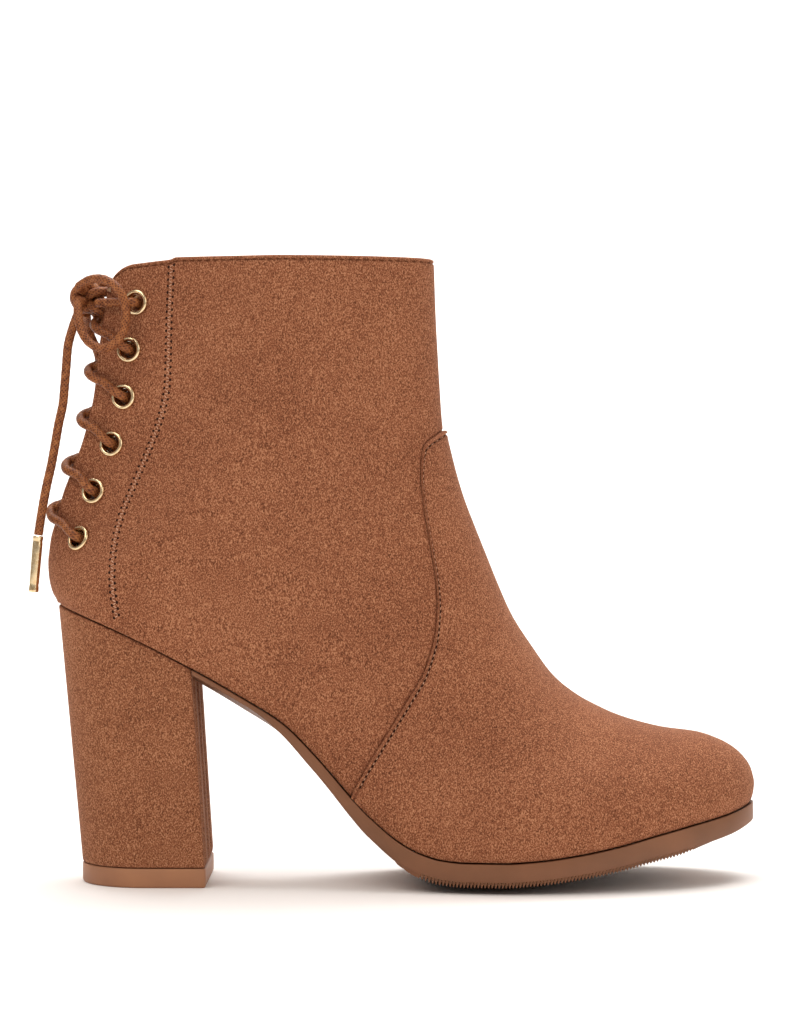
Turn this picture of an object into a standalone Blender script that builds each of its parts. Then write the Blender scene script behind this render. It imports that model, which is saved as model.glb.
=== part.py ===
import math

import bmesh
import bpy
import numpy as np
from mathutils import Vector

# Driving dimensions of the boot, in metres
BOOT_LENGTH = 0.2363
SEAT_HEIGHT = 0.0925
SHAFT_HEIGHT = 0.1140
SOLE_HEIGHT = 0.0104
TOE_SPRING = 0.0158
TOE_HEIGHT = 0.0300
BALL_WIDTH = 0.0790
HEEL_WIDTH = 0.0540
SHAFT_WIDTH = 0.0520
INSTEP_DEPTH = 0.0600
SIDE_BULGE = 0.0018
WALL = 0.0018
OVERLAY = 0.0011
OVERLAY_EDGE_WIDTH = 0.0005
CLEARANCE = 0.0003
FEATHER_GAP = 0.0005
WELD_DISTANCE = 0.00002
NORMAL_STEP = 0.0004

# Where the forms run into each other. LEG_HEIGHT: share of SHAFT_HEIGHT; the others: shares of BOOT_LENGTH
LEG_HEIGHT = 0.4
LEG_FRONT = 0.47
LEG_FRONT_RUN = 0.22
INSTEP_START = 0.56
INSTEP_RUN = 0.31
TOE_BOX_START = 0.72
TOE_BOX_RUN = 0.12
TOE_BOX_POWER = 2.3
LEAST_TOE_HEIGHT = 0.001

# The slit up the back and its corners
SLIT_HALF_GAP = 0.0055
SLIT_FOOT = 0.0155
SLIT_OPENING_RUN = 0.0240
COLLAR_CORNER = 0.0088
COLLAR_DIP = 0.0016
COLLAR_DIP_RUN = 0.0250
COLLAR_FADE = 0.15

# Eyelets and lace
EYELET_COUNT = 6
EYELET_OUTER_RADIUS = 0.0043
EYELET_BORE_RADIUS = 0.0028
EYELET_BARREL_RADIUS = 0.0031
EYELET_BACK_RADIUS = 0.0037
EYELET_LIP = 0.0006
EYELET_PLAY = 0.0005
EYELET_BACK_PLAY = 0.0008
EYELET_RIM_SHARE = 0.9
EYELET_BORE_FLARE = 0.0003
EYELET_SEGMENTS = 12
EYELET_SETBACK = 0.0107
EYELET_TOP_DROP = 0.0147
EYELET_BOTTOM_DROP = 0.0925
LACE_RADIUS = 0.0015
AGLET_RADIUS = 0.0017
AGLET_LENGTH = 0.0186
AGLET_SIDES = 10

# How a strand of the lace runs. The SHARE values are shares of the rise from one eyelet to the next
LACE_SIDES = 6
LACE_RINGS = 11
LACE_BAR_RINGS = 17
LACE_SETBACK = 0.0045
LACE_EDGE_PLAY = 0.0019
LACE_EDGE_SIDE = 0.0009
LACE_BAR_PLAY = 0.0022
LACE_UNDER_DEPTH = 0.0030
LACE_UNDER_SIDE = 0.0032
LACE_NEAR_LIFT = 0.0026
LACE_FAR_LIFT = 0.0006
LACE_OVER_SHARE = 0.20
LACE_EDGE_SHARE = 0.34
LACE_CROSS_SHARE = 0.55
LACE_UNDER_SHARE = 0.72
LOOP_RINGS = 24
END_RINGS = 16

# The gusset behind the slit
GUSSET_THICKNESS = 0.0014
GUSSET_SETBACK = 0.0106
GUSSET_NOSE_RADIUS = 0.0020
GUSSET_RUN = 0.0330
GUSSET_PLAY = 0.0007
GUSSET_FOOT = 0.0125
GUSSET_TOP_DROP = 0.0050
GUSSET_FLARE = 1.7
GUSSET_FLAP_START = 0.0070
GUSSET_FLAP_RUN = 0.0120
GUSSET_LEVELS = 9
GUSSET_TURNS = 19

# Sole, insole and heel
SOLE_OVERHANG = 0.0004
SOLE_EDGE = 0.0060
TREAD_INSET = 0.0018
TREAD_DEPTH = 0.0019
SOLE_BELLY = 0.0030
INSOLE_THICKNESS = 0.0020
HEEL_BREAST = 0.0493
HEEL_FOOT_BACK = 0.0116
HEEL_FOOT_BREAST = 0.0535
HEEL_FOOT_WIDTH = 0.0450
HEEL_WAIST = 0.05
HEEL_CORNER_SHARE = 0.985
HEEL_BACK_SEGMENTS = 20
HEEL_LEVELS = 7
TOP_PIECE_HEIGHT = 0.0063
TOP_PIECE_BEVEL = 0.0006

# Feather line, where the upper meets the sole.
# along: share of BOOT_LENGTH; climb: share of the rise to the seat; spring: share of TOE_SPRING
FEATHER = (
    (0.014, 1.000, 0.000),
    (0.106, 0.899, 0.000),
    (0.208, 0.753, 0.000),
    (0.275, 0.643, 0.000),
    (0.334, 0.536, 0.000),
    (0.378, 0.412, 0.000),
    (0.432, 0.235, 0.000),
    (0.453, 0.174, 0.000),
    (0.496, 0.073, 0.000),
    (0.525, 0.030, 0.000),
    (0.554, 0.007, 0.000),
    (0.585, 0.000, 0.000),
    (0.635, 0.000, 0.000),
    (0.686, 0.000, 0.044),
    (0.741, 0.000, 0.152),
    (0.796, 0.000, 0.304),
    (0.845, 0.000, 0.481),
    (0.899, 0.000, 0.658),
    (0.956, 0.000, 0.835),
    (0.995, 0.000, 1.000),
)

# Front profile from the toe tip up to the collar.
# along: share of BOOT_LENGTH; rise: share of the upper's own height there
FRONT_PROFILE = (
    (0.9945, 0.209),
    (0.9890, 0.367),
    (0.9800, 0.494),
    (0.9660, 0.626),
    (0.9460, 0.750),
    (0.9180, 0.869),
    (0.8690, 1.005),
    (0.8340, 0.934),
    (0.8030, 0.707),
    (0.7730, 0.480),
    (0.7450, 0.307),
    (0.7110, 0.172),
    (0.6780, 0.128),
    (0.6500, 0.124),
    (0.6310, 0.158),
    (0.6140, 0.204),
    (0.5970, 0.258),
    (0.5810, 0.323),
    (0.5670, 0.414),
    (0.5560, 0.522),
    (0.5530, 0.606),
    (0.5500, 0.709),
    (0.5470, 0.825),
    (0.5440, 1.000),
)

# How deep the sides round over from the front profile.
# reach: share of the profile's run from the toe; depth: share of INSTEP_DEPTH
ROUNDING = (
    (0.00, 0.50),
    (0.16, 0.52),
    (0.24, 0.60),
    (0.32, 0.68),
    (0.42, 0.80),
    (0.52, 0.90),
    (0.70, 0.98),
    (1.00, 1.00),
)

# Back profile from below the seat up to the collar. rise: share of SHAFT_HEIGHT; along: share of BOOT_LENGTH;
# depth: share of BOOT_LENGTH over which the back rounds; swell and round: the two powers of that rounding
BACK_PROFILE = (
    (-0.250, 0.0300, 0.114, 2.00, 2.00),
    (0.000, 0.0144, 0.114, 2.00, 2.00),
    (0.033, 0.0063, 0.117, 1.97, 1.88),
    (0.075, 0.0013, 0.126, 1.85, 1.64),
    (0.114, 0.0000, 0.140, 1.70, 1.42),
    (0.150, 0.0012, 0.155, 1.60, 1.29),
    (0.189, 0.0038, 0.172, 1.53, 1.20),
    (0.239, 0.0114, 0.192, 1.47, 1.13),
    (0.320, 0.0229, 0.217, 1.41, 1.08),
    (0.382, 0.0343, 0.235, 1.38, 1.06),
    (0.475, 0.0508, 0.250, 1.35, 1.04),
    (0.605, 0.0660, 0.260, 1.32, 1.04),
    (0.738, 0.0732, 0.262, 1.30, 1.04),
    (0.908, 0.0846, 0.262, 1.30, 1.04),
    (1.000, 0.0872, 0.262, 1.30, 1.04),
)

# Outline at the feather line. along: share of BOOT_LENGTH; heel: share of half HEEL_WIDTH;
# outer and inner: shares of half BALL_WIDTH added on each side; swing: centre line, share of half BALL_WIDTH
OUTLINE = (
    (0.000, 1.00, 0.000, 0.000, 0.000),
    (0.150, 1.00, 0.000, 0.000, -0.005),
    (0.210, 0.93, 0.020, -0.010, -0.015),
    (0.275, 0.75, 0.108, 0.044, -0.035),
    (0.340, 0.60, 0.197, 0.109, -0.055),
    (0.400, 0.45, 0.325, 0.237, -0.065),
    (0.465, 0.25, 0.538, 0.475, -0.060),
    (0.530, 0.10, 0.754, 0.716, -0.040),
    (0.592, 0.02, 0.923, 0.910, -0.015),
    (0.660, 0.00, 1.000, 0.975, 0.005),
    (0.728, 0.00, 0.985, 0.965, 0.030),
    (0.795, 0.00, 0.924, 0.886, 0.065),
    (0.859, 0.00, 0.810, 0.785, 0.100),
    (0.918, 0.00, 0.633, 0.623, 0.130),
    (0.956, 0.00, 0.456, 0.456, 0.145),
    (0.978, 0.00, 0.283, 0.283, 0.150),
    (0.991, 0.00, 0.000, 0.000, 0.150),
)

# Width of the leg. rise: share of SHAFT_HEIGHT above the seat; width: share of SHAFT_WIDTH
SHAFT = (
    (-0.70, 1.10),
    (0.00, 1.05),
    (0.20, 1.03),
    (0.42, 0.97),
    (0.64, 0.96),
    (1.00, 1.00),
)

# The fan of section lines. base: 0 toe, 1 back of the seat, 2 collar; front: share of the front profile's run
FAN = (
    (0.0000, 0.000),
    (0.1610, 0.208),
    (0.3340, 0.430),
    (0.5755, 0.749),
    (0.7990, 0.855),
    (1.0000, 0.943),
    (1.4560, 0.976),
    (2.0000, 1.000),
)
VAMP_EDGE = 0.5755

# The vamp's edge leaves its straight section line.
# down: share of the line from the front; lean: share of its length
VAMP_LEAN = (
    (0.00, 0.000),
    (0.05, -0.043),
    (0.12, -0.032),
    (0.22, 0.002),
    (0.33, 0.047),
    (0.43, 0.086),
    (0.51, 0.107),
    (0.58, 0.116),
    (0.66, 0.111),
    (0.73, 0.089),
    (0.83, 0.054),
    (0.93, 0.019),
    (1.00, 0.000),
)
VAMP_LEAN_REACH = 0.19

# The toe's tip. TOE_TIP and NOSE: shares of BOOT_LENGTH
TOE_TIP = 0.991
NOSE = 0.0035
NOSE_HEIGHT = 0.0060
TOE_LINE_PASSES = 6

# Places on the fan where the spacing of the section lines changes
TOE_LINES_END = 0.219
SEAT_LINES_START = 0.862
COLUMNS = 13

# Edge of the outsole. along: share of BOOT_LENGTH; edge: share of SOLE_EDGE; belly: share of SOLE_BELLY;
# tread: share of TREAD_DEPTH
SOLE = (
    (0.205, 0.70, 0.10, 0.00),
    (0.334, 0.75, 0.15, 0.00),
    (0.400, 0.88, 0.20, 0.00),
    (0.453, 1.05, 0.40, 0.00),
    (0.500, 1.06, 0.80, 0.45),
    (0.540, 0.98, 1.00, 1.00),
    (0.600, 0.97, 1.00, 1.00),
    (0.686, 0.97, 1.00, 1.00),
    (0.796, 1.03, 0.90, 1.00),
    (0.880, 1.10, 0.60, 1.00),
    (0.920, 1.12, 0.45, 0.40),
    (0.960, 1.08, 0.30, 0.00),
    (1.000, 0.95, 0.10, 0.00),
)

FRONT_POINTS = 160

# The bow and the free ends, as places behind and beside the top of the slit
KNOT_CENTRE = Vector((0.0118, 0.0, 0.1940))
KNOT_HALF = (0.0044, 0.0056, 0.0056)
KNOT_WAIST = 0.14
LOOP_NEAR = (
    (0.0110, -0.0072, 0.1972),
    (0.0150, -0.0105, 0.1992),
    (0.0205, -0.0144, 0.1990),
    (0.0252, -0.0165, 0.1956),
    (0.0274, -0.0172, 0.1900),
    (0.0272, -0.0172, 0.1840),
    (0.0248, -0.0167, 0.1790),
    (0.0204, -0.0155, 0.1766),
    (0.0158, -0.0140, 0.1780),
    (0.0126, -0.0122, 0.1822),
    (0.0112, -0.0100, 0.1876),
    (0.0108, -0.0074, 0.1926),
)
LOOP_FAR = (
    (0.0125, 0.0072, 0.1972),
    (0.0168, 0.0100, 0.1988),
    (0.0222, 0.0138, 0.1993),
    (0.0272, 0.0166, 0.1972),
    (0.0308, 0.0177, 0.1920),
    (0.0314, 0.0178, 0.1855),
    (0.0294, 0.0176, 0.1797),
    (0.0255, 0.0168, 0.1766),
    (0.0214, 0.0155, 0.1782),
    (0.0184, 0.0136, 0.1826),
    (0.0156, 0.0105, 0.1880),
    (0.0126, 0.0074, 0.1928),
)
END_NEAR = (
    (0.0104, -0.0026, 0.1888),
    (0.0086, -0.0048, 0.1830),
    (0.0075, -0.0066, 0.1780),
    (0.0070, -0.0077, 0.1714),
    (0.0065, -0.0082, 0.1647),
    (0.0059, -0.0086, 0.1581),
    (0.0045, -0.0089, 0.1515),
    (0.0034, -0.0092, 0.1449),
    (0.0022, -0.0094, 0.1383),
    (0.0007, -0.0096, 0.1316),
    (-0.0011, -0.0098, 0.1217),
    (-0.0021, -0.0098, 0.1151),
)
END_FAR = (
    (0.0126, 0.0028, 0.1888),
    (0.0124, 0.0078, 0.1850),
    (0.0134, 0.0106, 0.1812),
    (0.0153, 0.0126, 0.1765),
    (0.0163, 0.0133, 0.1700),
    (0.0161, 0.0136, 0.1630),
    (0.0148, 0.0138, 0.1550),
    (0.0124, 0.0140, 0.1465),
    (0.0094, 0.0144, 0.1375),
    (0.0066, 0.0149, 0.1285),
    (0.0048, 0.0155, 0.1205),
    (0.0040, 0.0160, 0.1145),
)
AGLET_NEAR_TIP = (-0.0039, -0.0098, 0.0945)
AGLET_FAR_TIP = (0.0033, 0.0168, 0.0943)
FREE_CORDS = (
    "lace_knot",
    "lace_loop_near",
    "lace_loop_far",
    "lace_end_near",
    "lace_end_far",
    "aglet_near",
    "aglet_far",
)


def smooth(table, column, at):
    """Cubic curve through a table's column that never overshoots its rows."""
    rows = np.array(table, dtype=float)
    order = np.argsort(rows[:, 0])
    knots = rows[order, 0]
    values = rows[order, column]
    steps = np.diff(knots)
    slopes = np.diff(values) / steps
    before = slopes[:-1]
    after = slopes[1:]
    same_way = before * after > 0
    weight = np.where(same_way, 2 * before * after / np.where(same_way, before + after, 1), 0)
    tangents = np.concatenate(([slopes[0]], weight, [slopes[-1]]))
    where = np.clip(np.asarray(at, dtype=float), knots[0], knots[-1])
    cell = np.clip(np.searchsorted(knots, where, side="right") - 1, 0, len(steps) - 1)
    t = (where - knots[cell]) / steps[cell]
    low = values[cell]
    high = values[cell + 1]
    in_slope = tangents[cell] * steps[cell]
    out_slope = tangents[cell + 1] * steps[cell]
    return (
        low * (1 + 2 * t) * (1 - t) ** 2
        + high * t * t * (3 - 2 * t)
        + in_slope * t * (1 - t) ** 2
        - out_slope * t * t * (1 - t)
    )


def ease(amount):
    """Smooth step from 0 to 1."""
    share = np.clip(amount, 0, 1)
    return share * share * (3 - 2 * share)


def feather_height(x):
    along = x / BOOT_LENGTH
    climb = smooth(FEATHER, 1, along) * (SEAT_HEIGHT - SOLE_HEIGHT)
    return SOLE_HEIGHT + climb + smooth(FEATHER, 2, along) * TOE_SPRING


def front_curve():
    """Points of the front profile, toe tip first, with each one's share of the run."""
    rows = np.array(FRONT_PROFILE)
    leg = 1 - ease((rows[:, 0] - INSTEP_START) / INSTEP_RUN)
    spring = smooth(FEATHER, 2, rows[:, 0]) * TOE_SPRING
    base = SOLE_HEIGHT + leg * (SEAT_HEIGHT - SOLE_HEIGHT) + spring
    height = base + rows[:, 1] * (TOE_HEIGHT + leg * (SHAFT_HEIGHT - TOE_HEIGHT))
    corners = np.column_stack((rows[:, 0] * BOOT_LENGTH, height))
    run = np.concatenate(([0], np.cumsum(np.hypot(*np.diff(corners, axis=0).T))))
    share = np.linspace(0, run[-1], FRONT_POINTS)
    table = np.column_stack((run, corners))
    points = np.column_stack((smooth(table, 1, share), smooth(table, 2, share)))
    return points, share / run[-1]


FRONT, FRONT_SHARE = front_curve()


def back_rise(z):
    return (z - SEAT_HEIGHT) / SHAFT_HEIGHT


def back_edge(z):
    return smooth(BACK_PROFILE, 1, back_rise(z)) * BOOT_LENGTH


def slit_gap(z):
    opened = np.clip((z - SEAT_HEIGHT - SLIT_FOOT) / SLIT_OPENING_RUN, 0, 1)
    return SLIT_HALF_GAP * ease(opened)


def outline(x, height):
    """Half widths at the feather line on the outer and inner side, and the centre line."""
    rows = np.array(OUTLINE)
    table = rows.copy()
    table[:, 0] = np.sqrt(TOE_TIP - rows[:, 0])
    nose = NOSE * ease(height / NOSE_HEIGHT)
    at = np.sqrt(np.maximum(TOE_TIP + nose - x / BOOT_LENGTH, 0))
    heel = smooth(table, 1, at) * HEEL_WIDTH / 2
    outer = heel + smooth(table, 2, at) * BALL_WIDTH / 2
    inner = heel + smooth(table, 3, at) * BALL_WIDTH / 2
    return outer, inner, smooth(table, 4, at) * BALL_WIDTH / 2


def half_width(x, z, side):
    """Distance of the surface from the boot's centre line, and that line, at a point of the side view."""
    x = np.asarray(x, dtype=float)
    z = np.asarray(z, dtype=float)
    above = np.maximum(z - feather_height(x), 0)
    outer, inner, swing = outline(x, above)
    foot = np.where(side < 0, outer, inner)
    leg = smooth(SHAFT, 1, back_rise(z)) * SHAFT_WIDTH / 2
    in_leg = ease(above / (LEG_HEIGHT * SHAFT_HEIGHT))
    in_leg = in_leg * (1 - ease((x / BOOT_LENGTH - LEG_FRONT) / LEG_FRONT_RUN))
    bulge = SIDE_BULGE * np.sin(math.pi * np.clip(above / TOE_HEIGHT, 0, 1)) * foot / (BALL_WIDTH / 2)
    wide = foot + bulge + (leg - foot - bulge) * in_leg

    gaps = np.hypot(x[..., None] - FRONT[:, 0], z[..., None] - FRONT[:, 1])
    nearest = np.argmin(gaps, axis=-1)
    depth = smooth(ROUNDING, 1, FRONT_SHARE[nearest]) * INSTEP_DEPTH
    inside = np.clip(np.min(gaps, axis=-1) / depth, 0, 1)
    over_leg = np.sqrt(1 - (1 - inside) ** 2)
    top = np.interp(-x, -FRONT[:, 0], FRONT[:, 1])
    tall = np.maximum(top - feather_height(x), LEAST_TOE_HEIGHT)
    over_toe = (1 - np.clip(above / tall, 0, 1) ** TOE_BOX_POWER) ** (1 / TOE_BOX_POWER)
    toe_share = ease((x / BOOT_LENGTH - TOE_BOX_START) / TOE_BOX_RUN)
    front = over_leg + (over_toe - over_leg) * toe_share

    rise = back_rise(z)
    behind = np.clip((x - back_edge(z)) / (smooth(BACK_PROFILE, 2, rise) * BOOT_LENGTH), 0, 1)
    swell = smooth(BACK_PROFILE, 3, rise)
    back = (1 - (1 - behind) ** swell) ** (1 / smooth(BACK_PROFILE, 4, rise))
    gap = slit_gap(z)
    return (gap + (wide - gap) * back) * front, swing * (1 - in_leg)


def base_point(base):
    """Lower end of a section line: along the feather line, then up the back."""
    share = np.minimum(base, 1)
    tip = TOE_TIP * BOOT_LENGTH
    heel_back = BACK_PROFILE[1][1] * BOOT_LENGTH
    x = tip + (heel_back - tip) * share
    z = feather_height(x)
    up = SEAT_HEIGHT + np.maximum(base - 1, 0) * SHAFT_HEIGHT
    return np.where(base > 1, back_edge(up), x), np.where(base > 1, up, z)


def section_line(base, down):
    """Points of the side view on one section line, from the front profile down to its base."""
    share = smooth(FAN, 1, base)
    front_x = np.interp(share, FRONT_SHARE, FRONT[:, 0])
    front_z = np.interp(share, FRONT_SHARE, FRONT[:, 1])
    base_x, base_z = base_point(base)
    length = np.hypot(front_x - base_x, front_z - base_z)
    near_vamp = np.cos(np.clip((base - VAMP_EDGE) / VAMP_LEAN_REACH, -1, 1) * math.pi / 2) ** 2
    lean = smooth(VAMP_LEAN, 1, down) * length * near_vamp
    return front_x + (base_x - front_x) * down + lean, front_z + (base_z - front_z) * down


def toe_line(z):
    """Foremost line of the toe at each height, where the two sides meet."""
    x = np.full_like(z, TOE_TIP * BOOT_LENGTH)
    for _ in range(TOE_LINE_PASSES):
        x = (TOE_TIP + NOSE * ease((z - feather_height(x)) / NOSE_HEIGHT)) * BOOT_LENGTH
    return x


def section_stations():
    """Section lines to build, close together where the plan turns fast."""
    toe = TOE_LINES_END * (np.arange(8) / 7) ** 2
    vamp = np.linspace(TOE_LINES_END, VAMP_EDGE, 8)[1:]
    edge = [VAMP_EDGE + OVERLAY_EDGE_WIDTH / BOOT_LENGTH]
    quarter = np.linspace(VAMP_EDGE, SEAT_LINES_START, 6)[1:]
    seat = 1 - (1 - SEAT_LINES_START) * (np.arange(3, -1, -1) / 4) ** 2
    slit = SLIT_FOOT / SHAFT_HEIGHT
    counter = 1 + slit * np.array((0.3, 0.65, 1.0))
    leg = np.linspace(1 + slit, 2, 9)[1:]
    return np.concatenate((toe, vamp, edge, quarter, seat, counter, leg))


def upper_grid(columns):
    """The upper's base surface: one row for each section line, from the outer side over to the inner."""
    stations = section_stations()
    across = np.linspace(-1, 1, columns * 2 + 1)
    base, turn = np.meshgrid(stations, across, indexing="ij")
    side = np.abs(turn)
    open_end = 1 - np.cos(side * math.pi / 2)
    closed_end = (1 - np.cos(side * math.pi)) / 2
    closing = ease((base - 0.75) / 0.2)
    x, z = section_line(base, open_end + (closed_end - open_end) * closing)
    x = np.where(base > 0, x, toe_line(z))
    half, swing = half_width(x, z, turn)
    y = swing + np.where(base > 0, np.sign(turn) * half, 0)
    at_collar = np.clip((base - 2 + COLLAR_FADE) / COLLAR_FADE, 0, 1) ** 2
    from_back = x - back_edge(z)
    corner = np.clip(1 - from_back / COLLAR_CORNER, 0, 1)
    drop = COLLAR_CORNER * (1 - np.sqrt(1 - corner ** 2))
    drop = drop + COLLAR_DIP * ease(1 - from_back / COLLAR_DIP_RUN)
    return stations, np.stack((x, y, z - drop * at_collar), axis=-1)


def upper_shell(columns):
    """Closed wall: the base surface with the vamp raised on it, and its copy one wall further in."""
    stations, grid = upper_grid(columns)
    rows, width = grid.shape[:2]
    points = grid.reshape(-1, 3)
    keys = {}
    index = np.empty(len(points), dtype=int)
    kept = []
    for number, point in enumerate(np.round(points, 7)):
        key = tuple(point)
        if key not in keys:
            keys[key] = len(kept)
            kept.append(number)
        index[number] = keys[key]
    base = points[kept]
    raised = np.repeat(stations <= VAMP_EDGE + 1e-6, width)[kept] * OVERLAY
    index = index.reshape(rows, width)

    faces = []
    for row in range(rows - 1):
        for column in range(width - 1):
            ring = (
                index[row, column],
                index[row + 1, column],
                index[row + 1, column + 1],
                index[row, column + 1],
            )
            corners = [v for place, v in enumerate(ring) if v != ring[place - 1]]
            if len(set(corners)) >= 3:
                faces.append(corners)

    normals = np.zeros_like(base)
    for corners in faces:
        turn = np.cross(base[corners[1]] - base[corners[0]], base[corners[-1]] - base[corners[0]])
        for corner in corners:
            normals[corner] += turn
    normals /= np.linalg.norm(normals, axis=1)[:, None]
    normals *= np.sign(np.sum(normals * (base - base.mean(axis=0))))
    rim = index[stations <= 1 + 1e-6][:, [0, -1]].ravel()
    normals[rim, 2] = 0
    normals[rim] /= np.linalg.norm(normals[rim], axis=1)[:, None]

    outer = base + normals * raised[:, None]
    inner = base - normals * WALL
    count = len(base)
    edges = {}
    for corners in faces:
        for place, corner in enumerate(corners):
            pair = (corner, corners[(place + 1) % len(corners)])
            edges[pair] = edges.get((pair[1], pair[0]), 0) + 1
            if edges[pair] > 1:
                del edges[pair]
                del edges[(pair[1], pair[0])]
    walls = [[b, a, a + count, b + count] for a, b in edges]
    inner_faces = [[corner + count for corner in reversed(corners)] for corners in faces]
    return np.concatenate((outer, inner)), faces + inner_faces + walls


def material(name, colour, roughness, metallic=0.0):
    made = bpy.data.materials.new(name)
    made.use_nodes = True
    shader = made.node_tree.nodes["Principled BSDF"]
    shader.inputs["Base Color"].default_value = (*colour, 1)
    shader.inputs["Roughness"].default_value = roughness
    shader.inputs["Metallic"].default_value = metallic
    return made


def add_mesh(name, points, faces, finish, smooth_angle=35):
    """New object whose faces point out."""
    shape = bmesh.new()
    vertices = [shape.verts.new(point) for point in points]
    for corners in faces:
        shape.faces.new([vertices[corner] for corner in corners])
    bmesh.ops.triangulate(shape, faces=[face for face in shape.faces if len(face.verts) > 4])
    bmesh.ops.recalc_face_normals(shape, faces=shape.faces)
    mesh = bpy.data.meshes.new(name)
    shape.to_mesh(mesh)
    shape.free()
    mesh.shade_smooth()
    mesh.set_sharp_from_angle(angle=math.radians(smooth_angle))
    mesh.materials.append(finish)
    made = bpy.data.objects.new(name, mesh)
    bpy.context.scene.collection.objects.link(made)
    return made


def remove_all():
    for old in list(bpy.data.objects):
        bpy.data.objects.remove(old)


def loft(rings, closed_start=True, closed_end=True):
    """Skin through rings of equal length."""
    count = len(rings[0])
    points = [point for ring in rings for point in ring]
    faces = []
    for row in range(len(rings) - 1):
        for column in range(count):
            following = (column + 1) % count
            faces.append([
                row * count + column,
                row * count + following,
                (row + 1) * count + following,
                (row + 1) * count + column,
            ])
    if closed_start:
        faces.append(list(range(count)))
    if closed_end:
        faces.append([(len(rings) - 1) * count + column for column in range(count)])
    return points, faces


def surface_point(x, z, side):
    """Point of the base surface seen at x, z from one side, and its outward normal."""
    half, swing = half_width(x, z, side)
    ahead = half_width(x + NORMAL_STEP, z, side)[0] - half_width(x - NORMAL_STEP, z, side)[0]
    above = half_width(x, z + NORMAL_STEP, side)[0] - half_width(x, z - NORMAL_STEP, side)[0]
    along = ahead / (2 * NORMAL_STEP)
    up = above / (2 * NORMAL_STEP)
    normal = Vector((-along, side, -up)).normalized()
    return Vector((x, float(swing + side * half), z)), normal


def eyelet_spot(number, side):
    top = SEAT_HEIGHT + SHAFT_HEIGHT
    drop = EYELET_TOP_DROP + (EYELET_BOTTOM_DROP - EYELET_TOP_DROP) * number / (EYELET_COUNT - 1)
    z = top - drop
    return surface_point(float(back_edge(z)) + EYELET_SETBACK, z, side)


def turned(profile, centre, axis, segments):
    """Ring of a profile turned about an axis; profile rows are radius and height along the axis."""
    across = axis.orthogonal().normalized()
    other = axis.cross(across)
    rings = []
    for segment in range(segments):
        angle = 2 * math.pi * segment / segments
        out = across * math.cos(angle) + other * math.sin(angle)
        rings.append([centre + out * radius + axis * height for radius, height in profile])
    count = len(profile)
    points = [point for ring in rings for point in ring]
    faces = []
    for segment in range(segments):
        following = (segment + 1) % segments
        for place in range(count):
            beside = (place + 1) % count
            faces.append([
                segment * count + place,
                segment * count + beside,
                following * count + beside,
                following * count + place,
            ])
    return points, faces


def make_upper(finish):
    points, faces = upper_shell(COLUMNS)
    upper = add_mesh("upper", points, faces, finish)
    shape = bmesh.new()
    for side in (-1, 1):
        for number in range(EYELET_COUNT):
            centre, normal = eyelet_spot(number, side)
            turn = Vector((0, 0, 1)).rotation_difference(normal).to_matrix().to_4x4()
            turn.translation = centre
            bmesh.ops.create_cone(
                shape,
                cap_ends=True,
                segments=EYELET_SEGMENTS,
                radius1=EYELET_BARREL_RADIUS + CLEARANCE,
                radius2=EYELET_BARREL_RADIUS + CLEARANCE,
                depth=6 * WALL,
                matrix=turn,
            )
    mesh = bpy.data.meshes.new("eyelet_cutter")
    shape.to_mesh(mesh)
    shape.free()
    cutter = bpy.data.objects.new("eyelet_cutter", mesh)
    bpy.context.scene.collection.objects.link(cutter)
    cutter.hide_render = True
    cutter.display_type = "WIRE"
    cut = upper.modifiers.new("eyelet_holes", "BOOLEAN")
    cut.operation = "DIFFERENCE"
    cut.solver = "EXACT"
    cut.object = cutter
    return upper


def sole_outline(inset):
    """Plan of the feather line moved in by a distance, as tables of x against y for both sides."""
    toe = 0.3 * (np.arange(24) / 24) ** 2
    heel = 1 - 0.14 * (np.arange(23, -1, -1) / 24) ** 2
    share = np.concatenate((toe, np.linspace(0.3, 0.86, 30), heel))
    x, z = base_point(share)
    sides = []
    for side in (-1, 1):
        half, swing = half_width(x, z, side)
        raised = OVERLAY * ease((VAMP_EDGE - share) / 0.02)
        plan = np.column_stack((x, swing + side * half))
        run = np.gradient(plan, axis=0)
        run[0] = (0, side)
        run[-1] = (0, -side)
        out = np.column_stack((run[:, 1], -run[:, 0])) * side
        out /= np.linalg.norm(out, axis=1)[:, None]
        moved = plan - out * (inset - raised)[:, None]
        sides.append(moved)
    return sides


def side_y(curve, x):
    return float(np.interp(-x, -curve[:, 0], curve[:, 1]))


def plan_stations(tip, back):
    """Cross lines from tip to back, on the same lines as the upper's sections so that the pieces meet."""
    x = base_point(section_stations())[0][section_stations() < 1]
    inside = x[(x < tip - 0.0006) & (x > back + 0.0006)]
    return np.concatenate(([tip], inside, [back]))


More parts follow.
